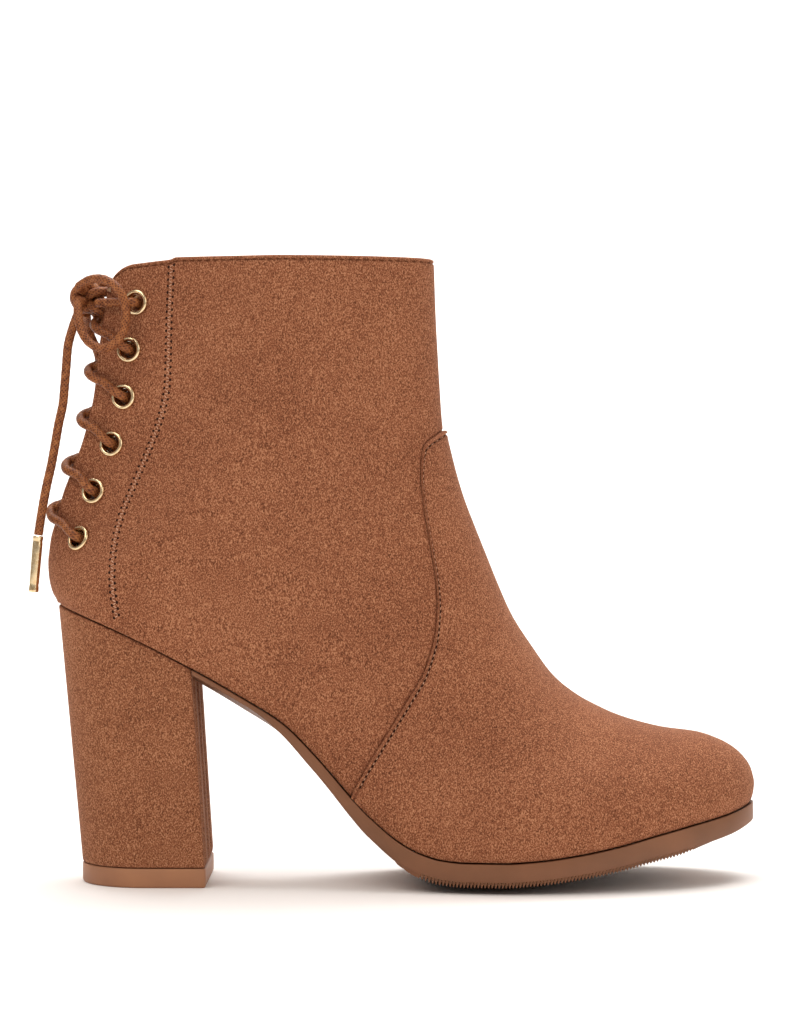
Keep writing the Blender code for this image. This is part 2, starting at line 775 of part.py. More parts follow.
def make_outsole(finish):
    edge_plan = sole_outline(-SOLE_OVERHANG)
    tread_plan = sole_outline(TREAD_INSET)
    tip = edge_plan[0][0][0]
    tread_tip = tread_plan[0][0][0]
    back = HEEL_BREAST + CLEARANCE
    rings = []
    for x in plan_stations(tip, back):
        inner_x = tread_tip + (back - tread_tip) * (tip - x) / (tip - back)
        along = x / BOOT_LENGTH
        top = float(feather_height(x)) - FEATHER_GAP
        band = max(top - float(smooth(SOLE, 1, along)) * SOLE_EDGE, 0)
        belly = float(smooth(SOLE, 2, along)) * SOLE_BELLY
        tread = band - float(smooth(SOLE, 3, along)) * TREAD_DEPTH
        left = side_y(edge_plan[0], x)
        right = side_y(edge_plan[1], x)
        middle = (left + right) / 2
        inner_low = min(side_y(tread_plan[0], inner_x), middle)
        inner_high = max(side_y(tread_plan[1], inner_x), middle)
        tread_x = min(x, inner_x)
        ring = [(x, left, top), (x, middle, top), (x, right, top), (x, right, band)]
        for place in (1.0, 0.66, 0.33, 0.0, -0.33, -0.66, -1.0):
            y = middle + place * ((inner_high - middle) if place > 0 else (middle - inner_low))
            crown = belly * (1 - ease(abs(place) * 0.9 + 0.1 * place * place))
            ring.append((tread_x, y, max(tread - crown, 0)))
        ring.append((x, left, band))
        rings.append(ring)
    points, faces = loft(rings, closed_start=False)
    return weld(add_mesh("outsole", points, faces, finish))


def weld(made):
    """Join points that fell together, such as the two sides at the toe tip."""
    shape = bmesh.new()
    shape.from_mesh(made.data)
    bmesh.ops.remove_doubles(shape, verts=shape.verts, dist=WELD_DISTANCE)
    bmesh.ops.dissolve_degenerate(shape, edges=shape.edges, dist=WELD_DISTANCE)
    holes = [edge for edge in shape.edges if edge.is_boundary]
    if holes:
        bmesh.ops.holes_fill(shape, edges=holes)
    bmesh.ops.triangulate(shape, faces=[face for face in shape.faces if len(face.verts) > 4])
    bmesh.ops.recalc_face_normals(shape, faces=shape.faces)
    shape.to_mesh(made.data)
    shape.free()
    return made


def make_insole(finish):
    plan = sole_outline(WALL + OVERLAY + 2 * CLEARANCE)
    tip = plan[0][0][0]
    back = plan[0][-1][0]
    rings = []
    for x in plan_stations(tip, back):
        low = float(feather_height(x)) + CLEARANCE
        left = side_y(plan[0], x)
        right = side_y(plan[1], x)
        middle = (left + right) / 2
        high = low + INSOLE_THICKNESS
        top = [(x, left, high), (x, middle, high), (x, right, high)]
        rings.append([(x, left, low), *top, (x, right, low), (x, middle, low)])
    points, faces = loft(rings, closed_start=False, closed_end=False)
    return weld(add_mesh("insole", points, faces, finish))


def heel_ring(front, back, half):
    """D shaped plan: straight breast, straight sides and a round back."""
    ring = []
    for place in range(HEEL_BACK_SEGMENTS + 1):
        angle = -math.pi / 2 - math.pi * place / HEEL_BACK_SEGMENTS
        ring.append((back + half + half * math.cos(angle), half * math.sin(angle)))
    ring.append((front, half * HEEL_CORNER_SHARE))
    ring.append((front, 0))
    ring.append((front, -half * HEEL_CORNER_SHARE))
    return ring


def make_heel(finish):
    plan = sole_outline(CLEARANCE)
    half = (side_y(plan[1], HEEL_BREAST) - side_y(plan[0], HEEL_BREAST)) / 2
    back = plan[0][-1][0]
    half = min(half, HEEL_WIDTH / 2)
    foot = heel_ring(HEEL_FOOT_BREAST, HEEL_FOOT_BACK, HEEL_FOOT_WIDTH / 2)
    seat = heel_ring(HEEL_BREAST, back, half)
    bottom = TOP_PIECE_HEIGHT + CLEARANCE
    rings = []
    for share in np.linspace(0, 1, HEEL_LEVELS):
        ring = []
        for (low_x, low_y), (high_x, high_y) in zip(foot, seat):
            top = float(feather_height(high_x)) - FEATHER_GAP
            waist = 1 - HEEL_WAIST * math.sin(math.pi * share)
            x = low_x + (high_x - low_x) * share
            y = (low_y + (high_y - low_y) * share) * waist
            ring.append((x, y, bottom + (top - bottom) * share))
        rings.append(ring)
    points, faces = loft(rings)
    return add_mesh("heel", points, faces, finish)


def make_top_piece(finish):
    rings = []
    levels = ((0, TOP_PIECE_BEVEL), (TOP_PIECE_BEVEL, 0), (TOP_PIECE_HEIGHT, 0))
    for height, inset in levels:
        front = HEEL_FOOT_BREAST + CLEARANCE - inset
        plan = heel_ring(front, HEEL_FOOT_BACK + inset, HEEL_FOOT_WIDTH / 2 - inset)
        rings.append([(x, y, height) for x, y in plan])
    points, faces = loft(rings)
    return add_mesh("heel_top_piece", points, faces, finish)


def make_gusset(finish):
    """Strip bent into a U behind the slit, its two flaps against the inside of the wall."""
    top = SEAT_HEIGHT + SHAFT_HEIGHT - GUSSET_TOP_DROP
    levels = np.linspace(SEAT_HEIGHT + GUSSET_FOOT, top, GUSSET_LEVELS)
    turns = np.linspace(-1, 1, GUSSET_TURNS)
    run = GUSSET_RUN - GUSSET_SETBACK
    outer = []
    for z in levels:
        ring = []
        for turn in turns:
            ahead = run * abs(turn) ** GUSSET_FLARE
            x = float(back_edge(z)) + GUSSET_SETBACK + ahead
            nose = math.sqrt(2 * GUSSET_NOSE_RADIUS * ahead)
            point, normal = surface_point(x, z, -1 if turn < 0 else 1)
            wall = abs(point.y) - (WALL + GUSSET_PLAY) / abs(normal.y)
            flap = float(ease((ahead - GUSSET_FLAP_START) / GUSSET_FLAP_RUN))
            ring.append((x, math.copysign(nose + (wall - nose) * flap, turn), z))
        outer.append(ring)
    grid = np.array(outer)
    along = np.gradient(grid, axis=1)
    across = np.stack((along[..., 1], -along[..., 0], np.zeros(along.shape[:2])), axis=-1)
    across /= np.linalg.norm(across, axis=2)[..., None]
    inner = grid + across * GUSSET_THICKNESS
    rings = [list(map(tuple, row)) + list(map(tuple, back[::-1])) for row, back in zip(grid, inner)]
    points, faces = loft(rings)
    return add_mesh("back_gusset", points, faces, finish)


def make_eyelet(name, number, side, finish):
    centre, normal = eyelet_spot(number, side)
    inside = -(WALL + EYELET_BACK_PLAY)
    profile = (
        (EYELET_OUTER_RADIUS, EYELET_PLAY),
        (EYELET_OUTER_RADIUS * EYELET_RIM_SHARE, EYELET_PLAY + EYELET_LIP),
        (EYELET_BORE_RADIUS + EYELET_BORE_FLARE, EYELET_PLAY + EYELET_LIP),
        (EYELET_BORE_RADIUS, EYELET_PLAY),
        (EYELET_BORE_RADIUS, inside - EYELET_LIP),
        (EYELET_BACK_RADIUS, inside - EYELET_LIP),
        (EYELET_BACK_RADIUS, inside),
        (EYELET_BARREL_RADIUS, inside),
        (EYELET_BARREL_RADIUS, EYELET_PLAY),
    )
    points, faces = turned(profile, centre, normal, EYELET_SEGMENTS)
    return add_mesh(name, points, faces, finish)


def cord_curve(name, route, radius, finish, count):
    """Tube along a smooth curve through the route's points."""
    knots = np.array(route, dtype=float)
    run = np.concatenate(([0], np.cumsum(np.linalg.norm(np.diff(knots, axis=0), axis=1))))
    at = np.linspace(0, run[-1], count)
    table = np.column_stack((run, knots))
    points = np.column_stack([smooth(table, column, at) for column in (1, 2, 3)])
    data = bpy.data.curves.new(name, "CURVE")
    data.dimensions = "3D"
    data.bevel_depth = radius
    data.bevel_resolution = 2
    data.use_fill_caps = True
    spline = data.splines.new("POLY")
    spline.points.add(count - 1)
    for point, place in zip(spline.points, points):
        point.co = (*place, 1)
    data.materials.append(finish)
    made = bpy.data.objects.new(name, data)
    bpy.context.scene.collection.objects.link(made)
    return made


def tube(route, radius, sides, count):
    """Points and faces of a capped tube through a route."""
    knots = np.array(route, dtype=float)
    run = np.concatenate(([0], np.cumsum(np.linalg.norm(np.diff(knots, axis=0), axis=1))))
    at = np.linspace(0, run[-1], count)
    table = np.column_stack((run, knots))
    line = np.column_stack([smooth(table, column, at) for column in (1, 2, 3)])
    tangent = np.gradient(line, axis=0)
    rings = []
    up = Vector((0, 0, 1))
    for place, way in zip(line, tangent):
        direction = Vector(way).normalized()
        across = direction.cross(up).normalized()
        other = across.cross(direction)
        ring = []
        for side in range(sides):
            angle = 2 * math.pi * side / sides
            ring.append(Vector(place) + (across * math.cos(angle) + other * math.sin(angle)) * radius)
        rings.append(ring)
    return loft(rings)


def joined(name, parts, finish):
    """Boolean union of closed shapes in one object."""
    first = add_mesh(name, *parts[0], finish)
    for number, part in enumerate(parts[1:]):
        other = add_mesh(f"{name}_strand_{number}", *part, finish)
        other.hide_render = True
        other.display_type = "WIRE"
        union = first.modifiers.new("join", "BOOLEAN")
        union.operation = "UNION"
        union.solver = "EXACT"
        union.object = other
    return first


def strand(lower, side, lift):
    """One strand of a crossing: out over one eyelet, round the edge, and in under the next one across."""
    out_centre, out_normal = eyelet_spot(lower, side)
    in_centre, in_normal = eyelet_spot(lower - 1, -side)
    outside = EYELET_LIP + EYELET_PLAY + 3 * CLEARANCE + LACE_RADIUS
    inside = WALL + EYELET_LIP + EYELET_BACK_PLAY + 2 * CLEARANCE + LACE_RADIUS
    rise = in_centre.z - out_centre.z
    over_z = out_centre.z + LACE_OVER_SHARE * rise
    edge_z = out_centre.z + LACE_EDGE_SHARE * rise
    cross_z = out_centre.z + LACE_CROSS_SHARE * rise
    under_z = out_centre.z + LACE_UNDER_SHARE * rise
    edge_x = float(back_edge(edge_z))
    cross_x = float(back_edge(cross_z))
    under_x = float(back_edge(under_z))
    gap = float(slit_gap(edge_z))
    start = out_centre + out_normal * outside
    half_way, half_normal = surface_point(edge_x + LACE_SETBACK, over_z, side)
    under_gap = float(slit_gap(under_z))
    return [
        start,
        half_way + half_normal * (LACE_RADIUS + 3 * CLEARANCE),
        Vector((edge_x - LACE_EDGE_PLAY, side * (gap + LACE_EDGE_SIDE), edge_z)),
        Vector((cross_x - lift, 0, cross_z)),
        Vector((under_x + LACE_UNDER_DEPTH, -side * (under_gap - LACE_UNDER_SIDE), under_z)),
        in_centre - in_normal * inside,
    ]


def make_lace_cross(number, finish):
    lower = EYELET_COUNT - number
    near = strand(lower, -1, LACE_NEAR_LIFT)
    far = strand(lower, 1, LACE_FAR_LIFT)
    parts = [tube(route, LACE_RADIUS, LACE_SIDES, LACE_RINGS) for route in (near, far)]
    return joined(f"lace_cross_{number}", parts, finish)


def make_top_bar(finish):
    """The lace comes out of the two top eyelets and runs round the panel edges under the knot."""
    route = []
    for side in (-1, 1):
        centre, normal = eyelet_spot(0, side)
        edge_x = float(back_edge(centre.z))
        gap = float(slit_gap(centre.z))
        outside = EYELET_LIP + EYELET_PLAY + 3 * CLEARANCE + LACE_RADIUS
        half_way, half_normal = surface_point(edge_x + LACE_SETBACK, centre.z, side)
        arm = [
            centre + normal * outside,
            half_way + half_normal * (LACE_RADIUS + 3 * CLEARANCE),
            Vector((edge_x - LACE_EDGE_PLAY, side * (gap + LACE_EDGE_SIDE), centre.z)),
        ]
        route += arm if side < 0 else arm[::-1]
    route.insert(3, Vector((edge_x - LACE_BAR_PLAY, 0, centre.z)))
    return add_mesh("lace_top_bar", *tube(route, LACE_RADIUS, LACE_SIDES, LACE_BAR_RINGS), finish)


def make_knot(finish):
    """Tight bow knot as a rounded block with a waist where the wrap pulls in."""
    shape = bmesh.new()
    bmesh.ops.create_uvsphere(shape, u_segments=14, v_segments=10, radius=1)
    for vertex in shape.verts:
        wide = 1 - KNOT_WAIST * math.cos(math.pi * vertex.co.y) ** 2
        place = Vector((vertex.co.x * wide, vertex.co.y, vertex.co.z * wide))
        vertex.co = KNOT_CENTRE + place * Vector(KNOT_HALF)
    mesh = bpy.data.meshes.new("lace_knot")
    shape.to_mesh(mesh)
    shape.free()
    mesh.shade_smooth()
    mesh.materials.append(finish)
    made = bpy.data.objects.new("lace_knot", mesh)
    bpy.context.scene.collection.objects.link(made)


def make_bow(cord, metal):
    make_knot(cord)
    cord_curve("lace_loop_near", LOOP_NEAR, LACE_RADIUS, cord, LOOP_RINGS)
    cord_curve("lace_loop_far", LOOP_FAR, LACE_RADIUS, cord, LOOP_RINGS)
    for label, route, tip in (("near", END_NEAR, AGLET_NEAR_TIP), ("far", END_FAR, AGLET_FAR_TIP)):
        cord_curve(f"lace_end_{label}", route, LACE_RADIUS, cord, END_RINGS)
        start = Vector(route[-1])
        way = (Vector(tip) - start).normalized()
        across = way.orthogonal().normalized()
        other = way.cross(across)
        rings = []
        for along in (CLEARANCE, CLEARANCE + AGLET_LENGTH / 2, CLEARANCE + AGLET_LENGTH):
            ring = []
            for side in range(AGLET_SIDES):
                angle = 2 * math.pi * side / AGLET_SIDES
                out = across * math.cos(angle) + other * math.sin(angle)
                ring.append(start + way * along + out * AGLET_RADIUS)
            rings.append(ring)
        add_mesh(f"aglet_{label}", *loft(rings), metal)


def stand_on_origin():
    """Move everything so that the boot without its free cords stands centred over the origin."""
    bpy.context.view_layer.update()
    graph = bpy.context.evaluated_depsgraph_get()
    corners = []
    for made in bpy.data.objects:
        if made.hide_render or made.name in FREE_CORDS:
            continue
        shape = made.evaluated_get(graph).to_mesh()
        places = np.empty(len(shape.vertices) * 3)
        shape.vertices.foreach_get("co", places)
        corners.append(places.reshape(-1, 3))
    everything = np.concatenate(corners)
    middle = (everything.min(axis=0) + everything.max(axis=0)) / 2
    shift = Vector((-middle[0], -middle[1], -everything[:, 2].min()))
    for made in bpy.data.objects:
        made.location = shift


def make_parts():
    suede = material("tan_suede", (0.31, 0.11, 0.05), 0.9)
    lining = material("beige_lining", (0.48, 0.33, 0.22), 0.8)
    rubber = material("tan_rubber", (0.21, 0.085, 0.038), 0.6)
    gold = material("pale_gold_metal", (0.78, 0.62, 0.42), 0.3, 1.0)
    cord = material("waxed_cord", (0.2, 0.06, 0.022), 0.6)
    make_upper(suede)
    make_gusset(suede)
    make_insole(lining)
    make_outsole(rubber)
    make_heel(suede)
    make_top_piece(rubber)
    for side, label in ((-1, "near"), (1, "far")):
        for number in range(EYELET_COUNT):
            make_eyelet(f"eyelet_{label}_{number + 1}", number, side, gold)
    for number in range(1, EYELET_COUNT):
        make_lace_cross(number, cord)
    make_top_bar(cord)
    make_bow(cord, gold)


remove_all()
make_parts()
stand_on_origin()
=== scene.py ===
import math

import bpy
import numpy as np
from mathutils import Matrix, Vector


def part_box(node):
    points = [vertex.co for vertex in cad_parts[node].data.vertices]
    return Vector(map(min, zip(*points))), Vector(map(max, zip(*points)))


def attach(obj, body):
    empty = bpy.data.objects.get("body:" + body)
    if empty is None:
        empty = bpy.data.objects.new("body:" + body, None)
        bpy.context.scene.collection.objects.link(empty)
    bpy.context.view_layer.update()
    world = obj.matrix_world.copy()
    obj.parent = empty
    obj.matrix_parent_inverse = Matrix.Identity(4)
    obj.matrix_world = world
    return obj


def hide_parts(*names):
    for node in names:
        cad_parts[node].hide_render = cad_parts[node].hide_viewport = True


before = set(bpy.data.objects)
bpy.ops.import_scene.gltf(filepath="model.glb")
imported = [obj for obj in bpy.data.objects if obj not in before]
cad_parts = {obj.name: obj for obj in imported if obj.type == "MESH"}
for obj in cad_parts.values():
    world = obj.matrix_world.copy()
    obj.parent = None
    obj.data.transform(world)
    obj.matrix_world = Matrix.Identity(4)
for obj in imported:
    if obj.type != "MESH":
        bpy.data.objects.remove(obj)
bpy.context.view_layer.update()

topPieceLow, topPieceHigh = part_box("heel_top_piece")
heelFootBack = 0.0116
bootShift = np.array([topPieceLow[0] - heelFootBack, (topPieceLow[1] + topPieceHigh[1]) / 2, 0.0])

# sizes of the boot in metres: x from the heel's back to the toe, y from the outer side to the inner, z up
boot = {
    "length": 0.2363,
    "seatHeight": 0.0925,
    "shaftHeight": 0.1140,
    "soleHeight": 0.0104,
    "toeSpring": 0.0158,
    "toeHeight": 0.0300,
    "ballWidth": 0.0790,
    "heelWidth": 0.0540,
    "shaftWidth": 0.0520,
    "instepDepth": 0.0600,
    "sideBulge": 0.0018,
    "toeTip": 0.991,
    "nose": 0.0035,
    "noseHeight": 0.0060,
    "slitHalfGap": 0.0055,
    "slitFoot": 0.0155,
    "slitOpening": 0.0240,
    # rounding of the toe and back, and where the leg and the toe take over as shares of the height and the length
    "roundPower": 2.3,
    "backEndRun": 0.3,
    "legRise": 0.4,
    "legFrom": 0.47,
    "legRun": 0.22,
    "toeFrom": 0.72,
    "toeRun": 0.12,
}

# feather line: share of the length, share of the climb to the seat, share of the toe spring
featherRows = (
    (0.014, 1, 0), (0.106, 0.899, 0), (0.208, 0.753, 0), (0.275, 0.643, 0), (0.334, 0.536, 0), (0.378, 0.412, 0),
    (0.432, 0.235, 0), (0.453, 0.174, 0), (0.496, 0.073, 0), (0.525, 0.03, 0), (0.554, 0.007, 0), (0.585, 0, 0),
    (0.635, 0, 0), (0.686, 0, 0.044), (0.741, 0, 0.152), (0.796, 0, 0.304), (0.845, 0, 0.481), (0.899, 0, 0.658),
    (0.956, 0, 0.835), (0.995, 0, 1),
)

# front profile from the toe up: share of the length, share of the upper's own height there
profileRows = (
    (0.9945, 0.209), (0.989, 0.367), (0.98, 0.494), (0.966, 0.626), (0.946, 0.75), (0.918, 0.869), (0.869, 1.005),
    (0.834, 0.934), (0.803, 0.707), (0.773, 0.48), (0.745, 0.307), (0.711, 0.172), (0.678, 0.128), (0.65, 0.124),
    (0.631, 0.158), (0.614, 0.204), (0.597, 0.258), (0.581, 0.323), (0.567, 0.414), (0.556, 0.522), (0.553, 0.606),
    (0.55, 0.709), (0.547, 0.825), (0.544, 1),
)

# rounding of the sides from the front profile: share of the profile's run, share of the instep depth
roundingRows = (
    (0, 0.5), (0.16, 0.52), (0.24, 0.6), (0.32, 0.68), (0.42, 0.8), (0.52, 0.9), (0.7, 0.98), (1, 1),
)

# back profile: share of the shaft height, place and depth as shares of the length, powers of the rounding
backRows = (
    (-0.25, 0.03, 0.114, 2, 2), (0, 0.0144, 0.114, 2, 2), (0.033, 0.0063, 0.117, 1.97, 1.88),
    (0.075, 0.0013, 0.126, 1.85, 1.64), (0.114, 0, 0.14, 1.7, 1.42), (0.15, 0.0012, 0.155, 1.6, 1.29),
    (0.189, 0.0038, 0.172, 1.53, 1.2), (0.239, 0.0114, 0.192, 1.47, 1.13), (0.32, 0.0229, 0.217, 1.41, 1.08),
    (0.382, 0.0343, 0.235, 1.38, 1.06), (0.475, 0.0508, 0.25, 1.35, 1.04), (0.605, 0.066, 0.26, 1.32, 1.04),
    (0.738, 0.0732, 0.262, 1.3, 1.04), (0.908, 0.0846, 0.262, 1.3, 1.04), (1, 0.0872, 0.262, 1.3, 1.04),
)

# plan at the feather line: share of the length, share of half the heel width, shares of half the ball width
# on the outer and inner side, and the centre line's swing as a share of half the ball width
planRows = (
    (0, 1, 0, 0, 0), (0.15, 1, 0, 0, -0.005), (0.21, 0.93, 0.02, -0.01, -0.015), (0.275, 0.75, 0.108, 0.044, -0.035),
    (0.34, 0.6, 0.197, 0.109, -0.055), (0.4, 0.45, 0.325, 0.237, -0.065), (0.465, 0.25, 0.538, 0.475, -0.06),
    (0.53, 0.1, 0.754, 0.716, -0.04), (0.592, 0.02, 0.923, 0.91, -0.015), (0.66, 0, 1, 0.975, 0.005),
    (0.728, 0, 0.985, 0.965, 0.03), (0.795, 0, 0.924, 0.886, 0.065), (0.859, 0, 0.81, 0.785, 0.1),
    (0.918, 0, 0.633, 0.623, 0.13), (0.956, 0, 0.456, 0.456, 0.145), (0.978, 0, 0.283, 0.283, 0.15),
    (0.991, 0, 0, 0, 0.15),
)

# width of the leg: share of the shaft height, share of the shaft width
legRows = ((-0.70, 1.10), (0.00, 1.05), (0.20, 1.03), (0.42, 0.97), (0.64, 0.96), (1.00, 1.00))

# fan of section lines: place on the base (0 toe, 1 back of the seat, 2 collar), share of the front profile's run
fanRows = (
    (0, 0), (0.161, 0.208), (0.334, 0.43), (0.5755, 0.749), (0.799, 0.855), (1, 0.943), (1.456, 0.976), (2, 1),
)

# lean of the vamp's edge: share of the line from the front, share of its length
leanRows = (
    (0, 0), (0.05, -0.043), (0.12, -0.032), (0.22, 0.002), (0.33, 0.047), (0.43, 0.086), (0.51, 0.107), (0.58, 0.116),
    (0.66, 0.111), (0.73, 0.089), (0.83, 0.054), (0.93, 0.019), (1, 0),
)


def hermite(t, low, high, inSlope, outSlope):
    # cubic between two values with a slope at each
    return (
        low * (1 + 2 * t) * (1 - t) ** 2 + high * t * t * (3 - 2 * t)
        + inSlope * t * (1 - t) ** 2 - outSlope * t * t * (1 - t)
    )


def curveThrough(rows, column, at):
    # monotone cubic through the rows: harmonic mean slopes, so it never overshoots
    table = np.array(sorted(rows), dtype=float)
    knots, values = table[:, 0], table[:, column]
    steps = np.diff(knots)
    slopes = np.diff(values) / steps
    before, after = slopes[:-1], slopes[1:]
    sameWay = before * after > 0
    inside = np.where(sameWay, 2 * before * after / np.where(sameWay, before + after, 1), 0)
    tangents = np.concatenate(([slopes[0]], inside, [slopes[-1]]))
    where = np.clip(np.asarray(at, dtype=float), knots[0], knots[-1])
    cell = np.clip(np.searchsorted(knots, where, side="right") - 1, 0, len(steps) - 1)
    t = (where - knots[cell]) / steps[cell]
    return hermite(t, values[cell], values[cell + 1], tangents[cell] * steps[cell], tangents[cell + 1] * steps[cell])


def unit(vectors):
    return vectors / np.maximum(np.linalg.norm(vectors, axis=-1, keepdims=True), 1e-12)


def runAt(points):
    # length of a line up to each of its points
    return np.concatenate(([0], np.cumsum(np.linalg.norm(np.diff(points, axis=0), axis=1))))


def spans(start, *ends):
    # places from the start through each end in turn, each with the number of points on its span
    places = [[start]]
    for end, count in ends:
        places.append(np.linspace(start, end, count)[1:])
        start = end
    return np.concatenate(places)


def easeStep(amount):
    # 0 before, 1 after, with a flat start and end
    share = np.clip(amount, 0, 1)
    return share * share * (3 - 2 * share)


def featherHeight(x):
    along = x / boot["length"]
    climb = curveThrough(featherRows, 1, along) * (boot["seatHeight"] - boot["soleHeight"])
    return boot["soleHeight"] + climb + curveThrough(featherRows, 2, along) * boot["toeSpring"]


def frontProfile(count):
    # the profile rows set at their heights, joined by one smooth line and spaced evenly along it
    rows = np.array(profileRows)
    leg = 1 - easeStep((rows[:, 0] - 0.56) / 0.31)
    spring = curveThrough(featherRows, 2, rows[:, 0]) * boot["toeSpring"]
    base = boot["soleHeight"] + leg * (boot["seatHeight"] - boot["soleHeight"]) + spring
    height = base + rows[:, 1] * (boot["toeHeight"] + leg * (boot["shaftHeight"] - boot["toeHeight"]))
    corners = np.column_stack((rows[:, 0] * boot["length"], height))
    run = runAt(corners)
    share = np.linspace(0, run[-1], count)
    table = np.column_stack((run, corners)).tolist()
    line = np.column_stack([curveThrough(table, column, share) for column in (1, 2)])
    return line, share / run[-1]


frontLine, frontShare = frontProfile(420)


def nearestOnFront(x, z):
    # distance to the front profile and the place on its run, from the two pieces of line beside the nearest point
    flat = np.stack((np.ravel(x), np.ravel(z)), axis=-1)
    gaps, shares = [], []
    for part in np.array_split(flat, len(flat) // 4000 + 1):
        nearest = np.argmin(np.hypot(part[:, :1] - frontLine[:, 0], part[:, 1:] - frontLine[:, 1]), axis=1)
        bestGap = np.full(len(part), np.inf)
        bestShare = np.zeros(len(part))
        for start in (np.maximum(nearest - 1, 0), np.minimum(nearest, len(frontLine) - 2)):
            first, way = frontLine[start], frontLine[start + 1] - frontLine[start]
            t = np.clip(np.sum((part - first) * way, axis=1) / np.sum(way * way, axis=1), 0, 1)
            gap = np.linalg.norm(part - first - way * t[:, None], axis=1)
            share = frontShare[start] + (frontShare[start + 1] - frontShare[start]) * t
            bestShare = np.where(gap < bestGap, share, bestShare)
            bestGap = np.minimum(gap, bestGap)
        gaps.append(bestGap)
        shares.append(bestShare)
    return np.concatenate(gaps).reshape(np.shape(x)), np.concatenate(shares).reshape(np.shape(x))


def backRise(z):
    return (z - boot["seatHeight"]) / boot["shaftHeight"]


def backEdge(z):
    return curveThrough(backRows, 1, backRise(z)) * boot["length"]


def slitGap(z):
    return boot["slitHalfGap"] * easeStep((z - boot["seatHeight"] - boot["slitFoot"]) / boot["slitOpening"])


def planWidths(x, height):
    # half widths of the outer and inner side and the centre line, on a root scale that opens the round toe
    rows = np.array(planRows)
    table = rows.copy()
    table[:, 0] = np.sqrt(boot["toeTip"] - rows[:, 0])
    nose = boot["nose"] * easeStep(height / boot["noseHeight"])
    at = np.sqrt(np.maximum(boot["toeTip"] + nose - x / boot["length"], 0))
    table = table.tolist()
    heel = curveThrough(table, 1, at) * boot["heelWidth"] / 2
    ball = boot["ballWidth"] / 2
    outer = heel + curveThrough(table, 2, at) * ball
    inner = heel + curveThrough(table, 3, at) * ball
    return outer, inner, curveThrough(table, 4, at) * ball


def halfWidth(x, z, side):
    # width at a place of the side view: plan width below, leg width above, rounded over to the front and back lines
    x, z = np.asarray(x, dtype=float), np.asarray(z, dtype=float)
    place, rise, power = x / boot["length"], backRise(z), boot["roundPower"]
    above = np.maximum(z - featherHeight(x), 0)
    outer, inner, swing = planWidths(x, above)
    foot = np.where(side < 0, outer, inner)
    leg = curveThrough(legRows, 1, rise) * boot["shaftWidth"] / 2
    behindFoot = 1 - easeStep((place - boot["legFrom"]) / boot["legRun"])
    inLeg = easeStep(above / (boot["legRise"] * boot["shaftHeight"])) * behindFoot
    belly = np.sin(math.pi * np.clip(above / boot["toeHeight"], 0, 1))
    foot = foot + boot["sideBulge"] * belly * foot / (boot["ballWidth"] / 2)
    wide = foot + (leg - foot) * inLeg

    gap, share = nearestOnFront(x, z)
    inside = np.clip(gap / (curveThrough(roundingRows, 1, share) * boot["instepDepth"]), 0, 1)
    overLeg = np.sqrt(1 - (1 - inside) ** 2)
    top = np.interp(-x, -frontLine[:, 0], frontLine[:, 1])
    tall = np.maximum(top - featherHeight(x), 0.001)
    overToe = (1 - np.clip(above / tall, 0, 1) ** power) ** (1 / power)
    front = overLeg + (overToe - overLeg) * easeStep((place - boot["toeFrom"]) / boot["toeRun"])

    behind = np.clip((x - backEdge(z)) / (curveThrough(backRows, 2, rise) * boot["length"]), 0, 1)
    bend = curveThrough(backRows, 3, rise)
    # rounder towards its end, so that no crease shows there
    bend = bend + np.maximum(power - bend, 0) * np.clip(1 - (1 - behind) / boot["backEndRun"], 0, 1) ** 2
    back = (1 - (1 - behind) ** bend) ** (1 / curveThrough(backRows, 4, rise))
    slit = slitGap(z)
    return (slit + (wide - slit) * back) * front, swing * (1 - inLeg)


def sideSlopes(x, z, side):
    # how the half width changes along x and up z, from small steps
    step = 0.0004
    along = (halfWidth(x + step, z, side)[0] - halfWidth(x - step, z, side)[0]) / (2 * step)
    up = (halfWidth(x, z + step, side)[0] - halfWidth(x, z - step, side)[0]) / (2 * step)
    return along, up


def surfaceAt(x, z, side):
    # point of the boot's surface seen at x, z from one side, and its normal
    x, z = np.asarray(x, dtype=float), np.asarray(z, dtype=float)
    half, swing = halfWidth(x, z, side)
    along, up = sideSlopes(x, z, side)
    normal = unit(np.stack((-along, np.broadcast_to(side, along.shape).astype(float), -up), axis=-1))
    return np.stack((x, swing + side * half, z), axis=-1), normal


def basePlace(base):
    # along the feather line from toe to seat, then up the back line to the collar
    tip = boot["toeTip"] * boot["length"]
    heelBack = backRows[1][1] * boot["length"]
    x = tip + (heelBack - tip) * np.minimum(base, 1)
    up = boot["seatHeight"] + np.maximum(base - 1, 0) * boot["shaftHeight"]
    return np.where(base > 1, backEdge(up), x), np.where(base > 1, up, featherHeight(x))


vampEdge = 0.5755
slitBase = 1 + boot["slitFoot"] / boot["shaftHeight"]


def sectionLine(base, down):
    # straight from the front profile to the base, bent near the vamp's edge
    share = curveThrough(fanRows, 1, base)
    frontX = np.interp(share, frontShare, frontLine[:, 0])
    frontZ = np.interp(share, frontShare, frontLine[:, 1])
    baseX, baseZ = basePlace(base)
    length = np.hypot(frontX - baseX, frontZ - baseZ)
    nearVamp = np.cos(np.clip((base - vampEdge) / 0.19, -1, 1) * math.pi / 2) ** 2
    lean = curveThrough(leanRows, 1, down) * length * nearVamp
    return frontX + (baseX - frontX) * down + lean, frontZ + (baseZ - frontZ) * down


def toLinear(hexColour):
    # sRGB hex to linear RGBA
    parts = [int(hexColour[place:place + 2], 16) / 255 for place in (1, 3, 5)]
    return tuple(part / 12.92 if part <= 0.04045 else ((part + 0.055) / 1.055) ** 2.4 for part in parts) + (1.0,)


def newObject(name, data):
    thing = bpy.data.objects.new(name, data)
    bpy.context.scene.collection.objects.link(thing)
    return thing


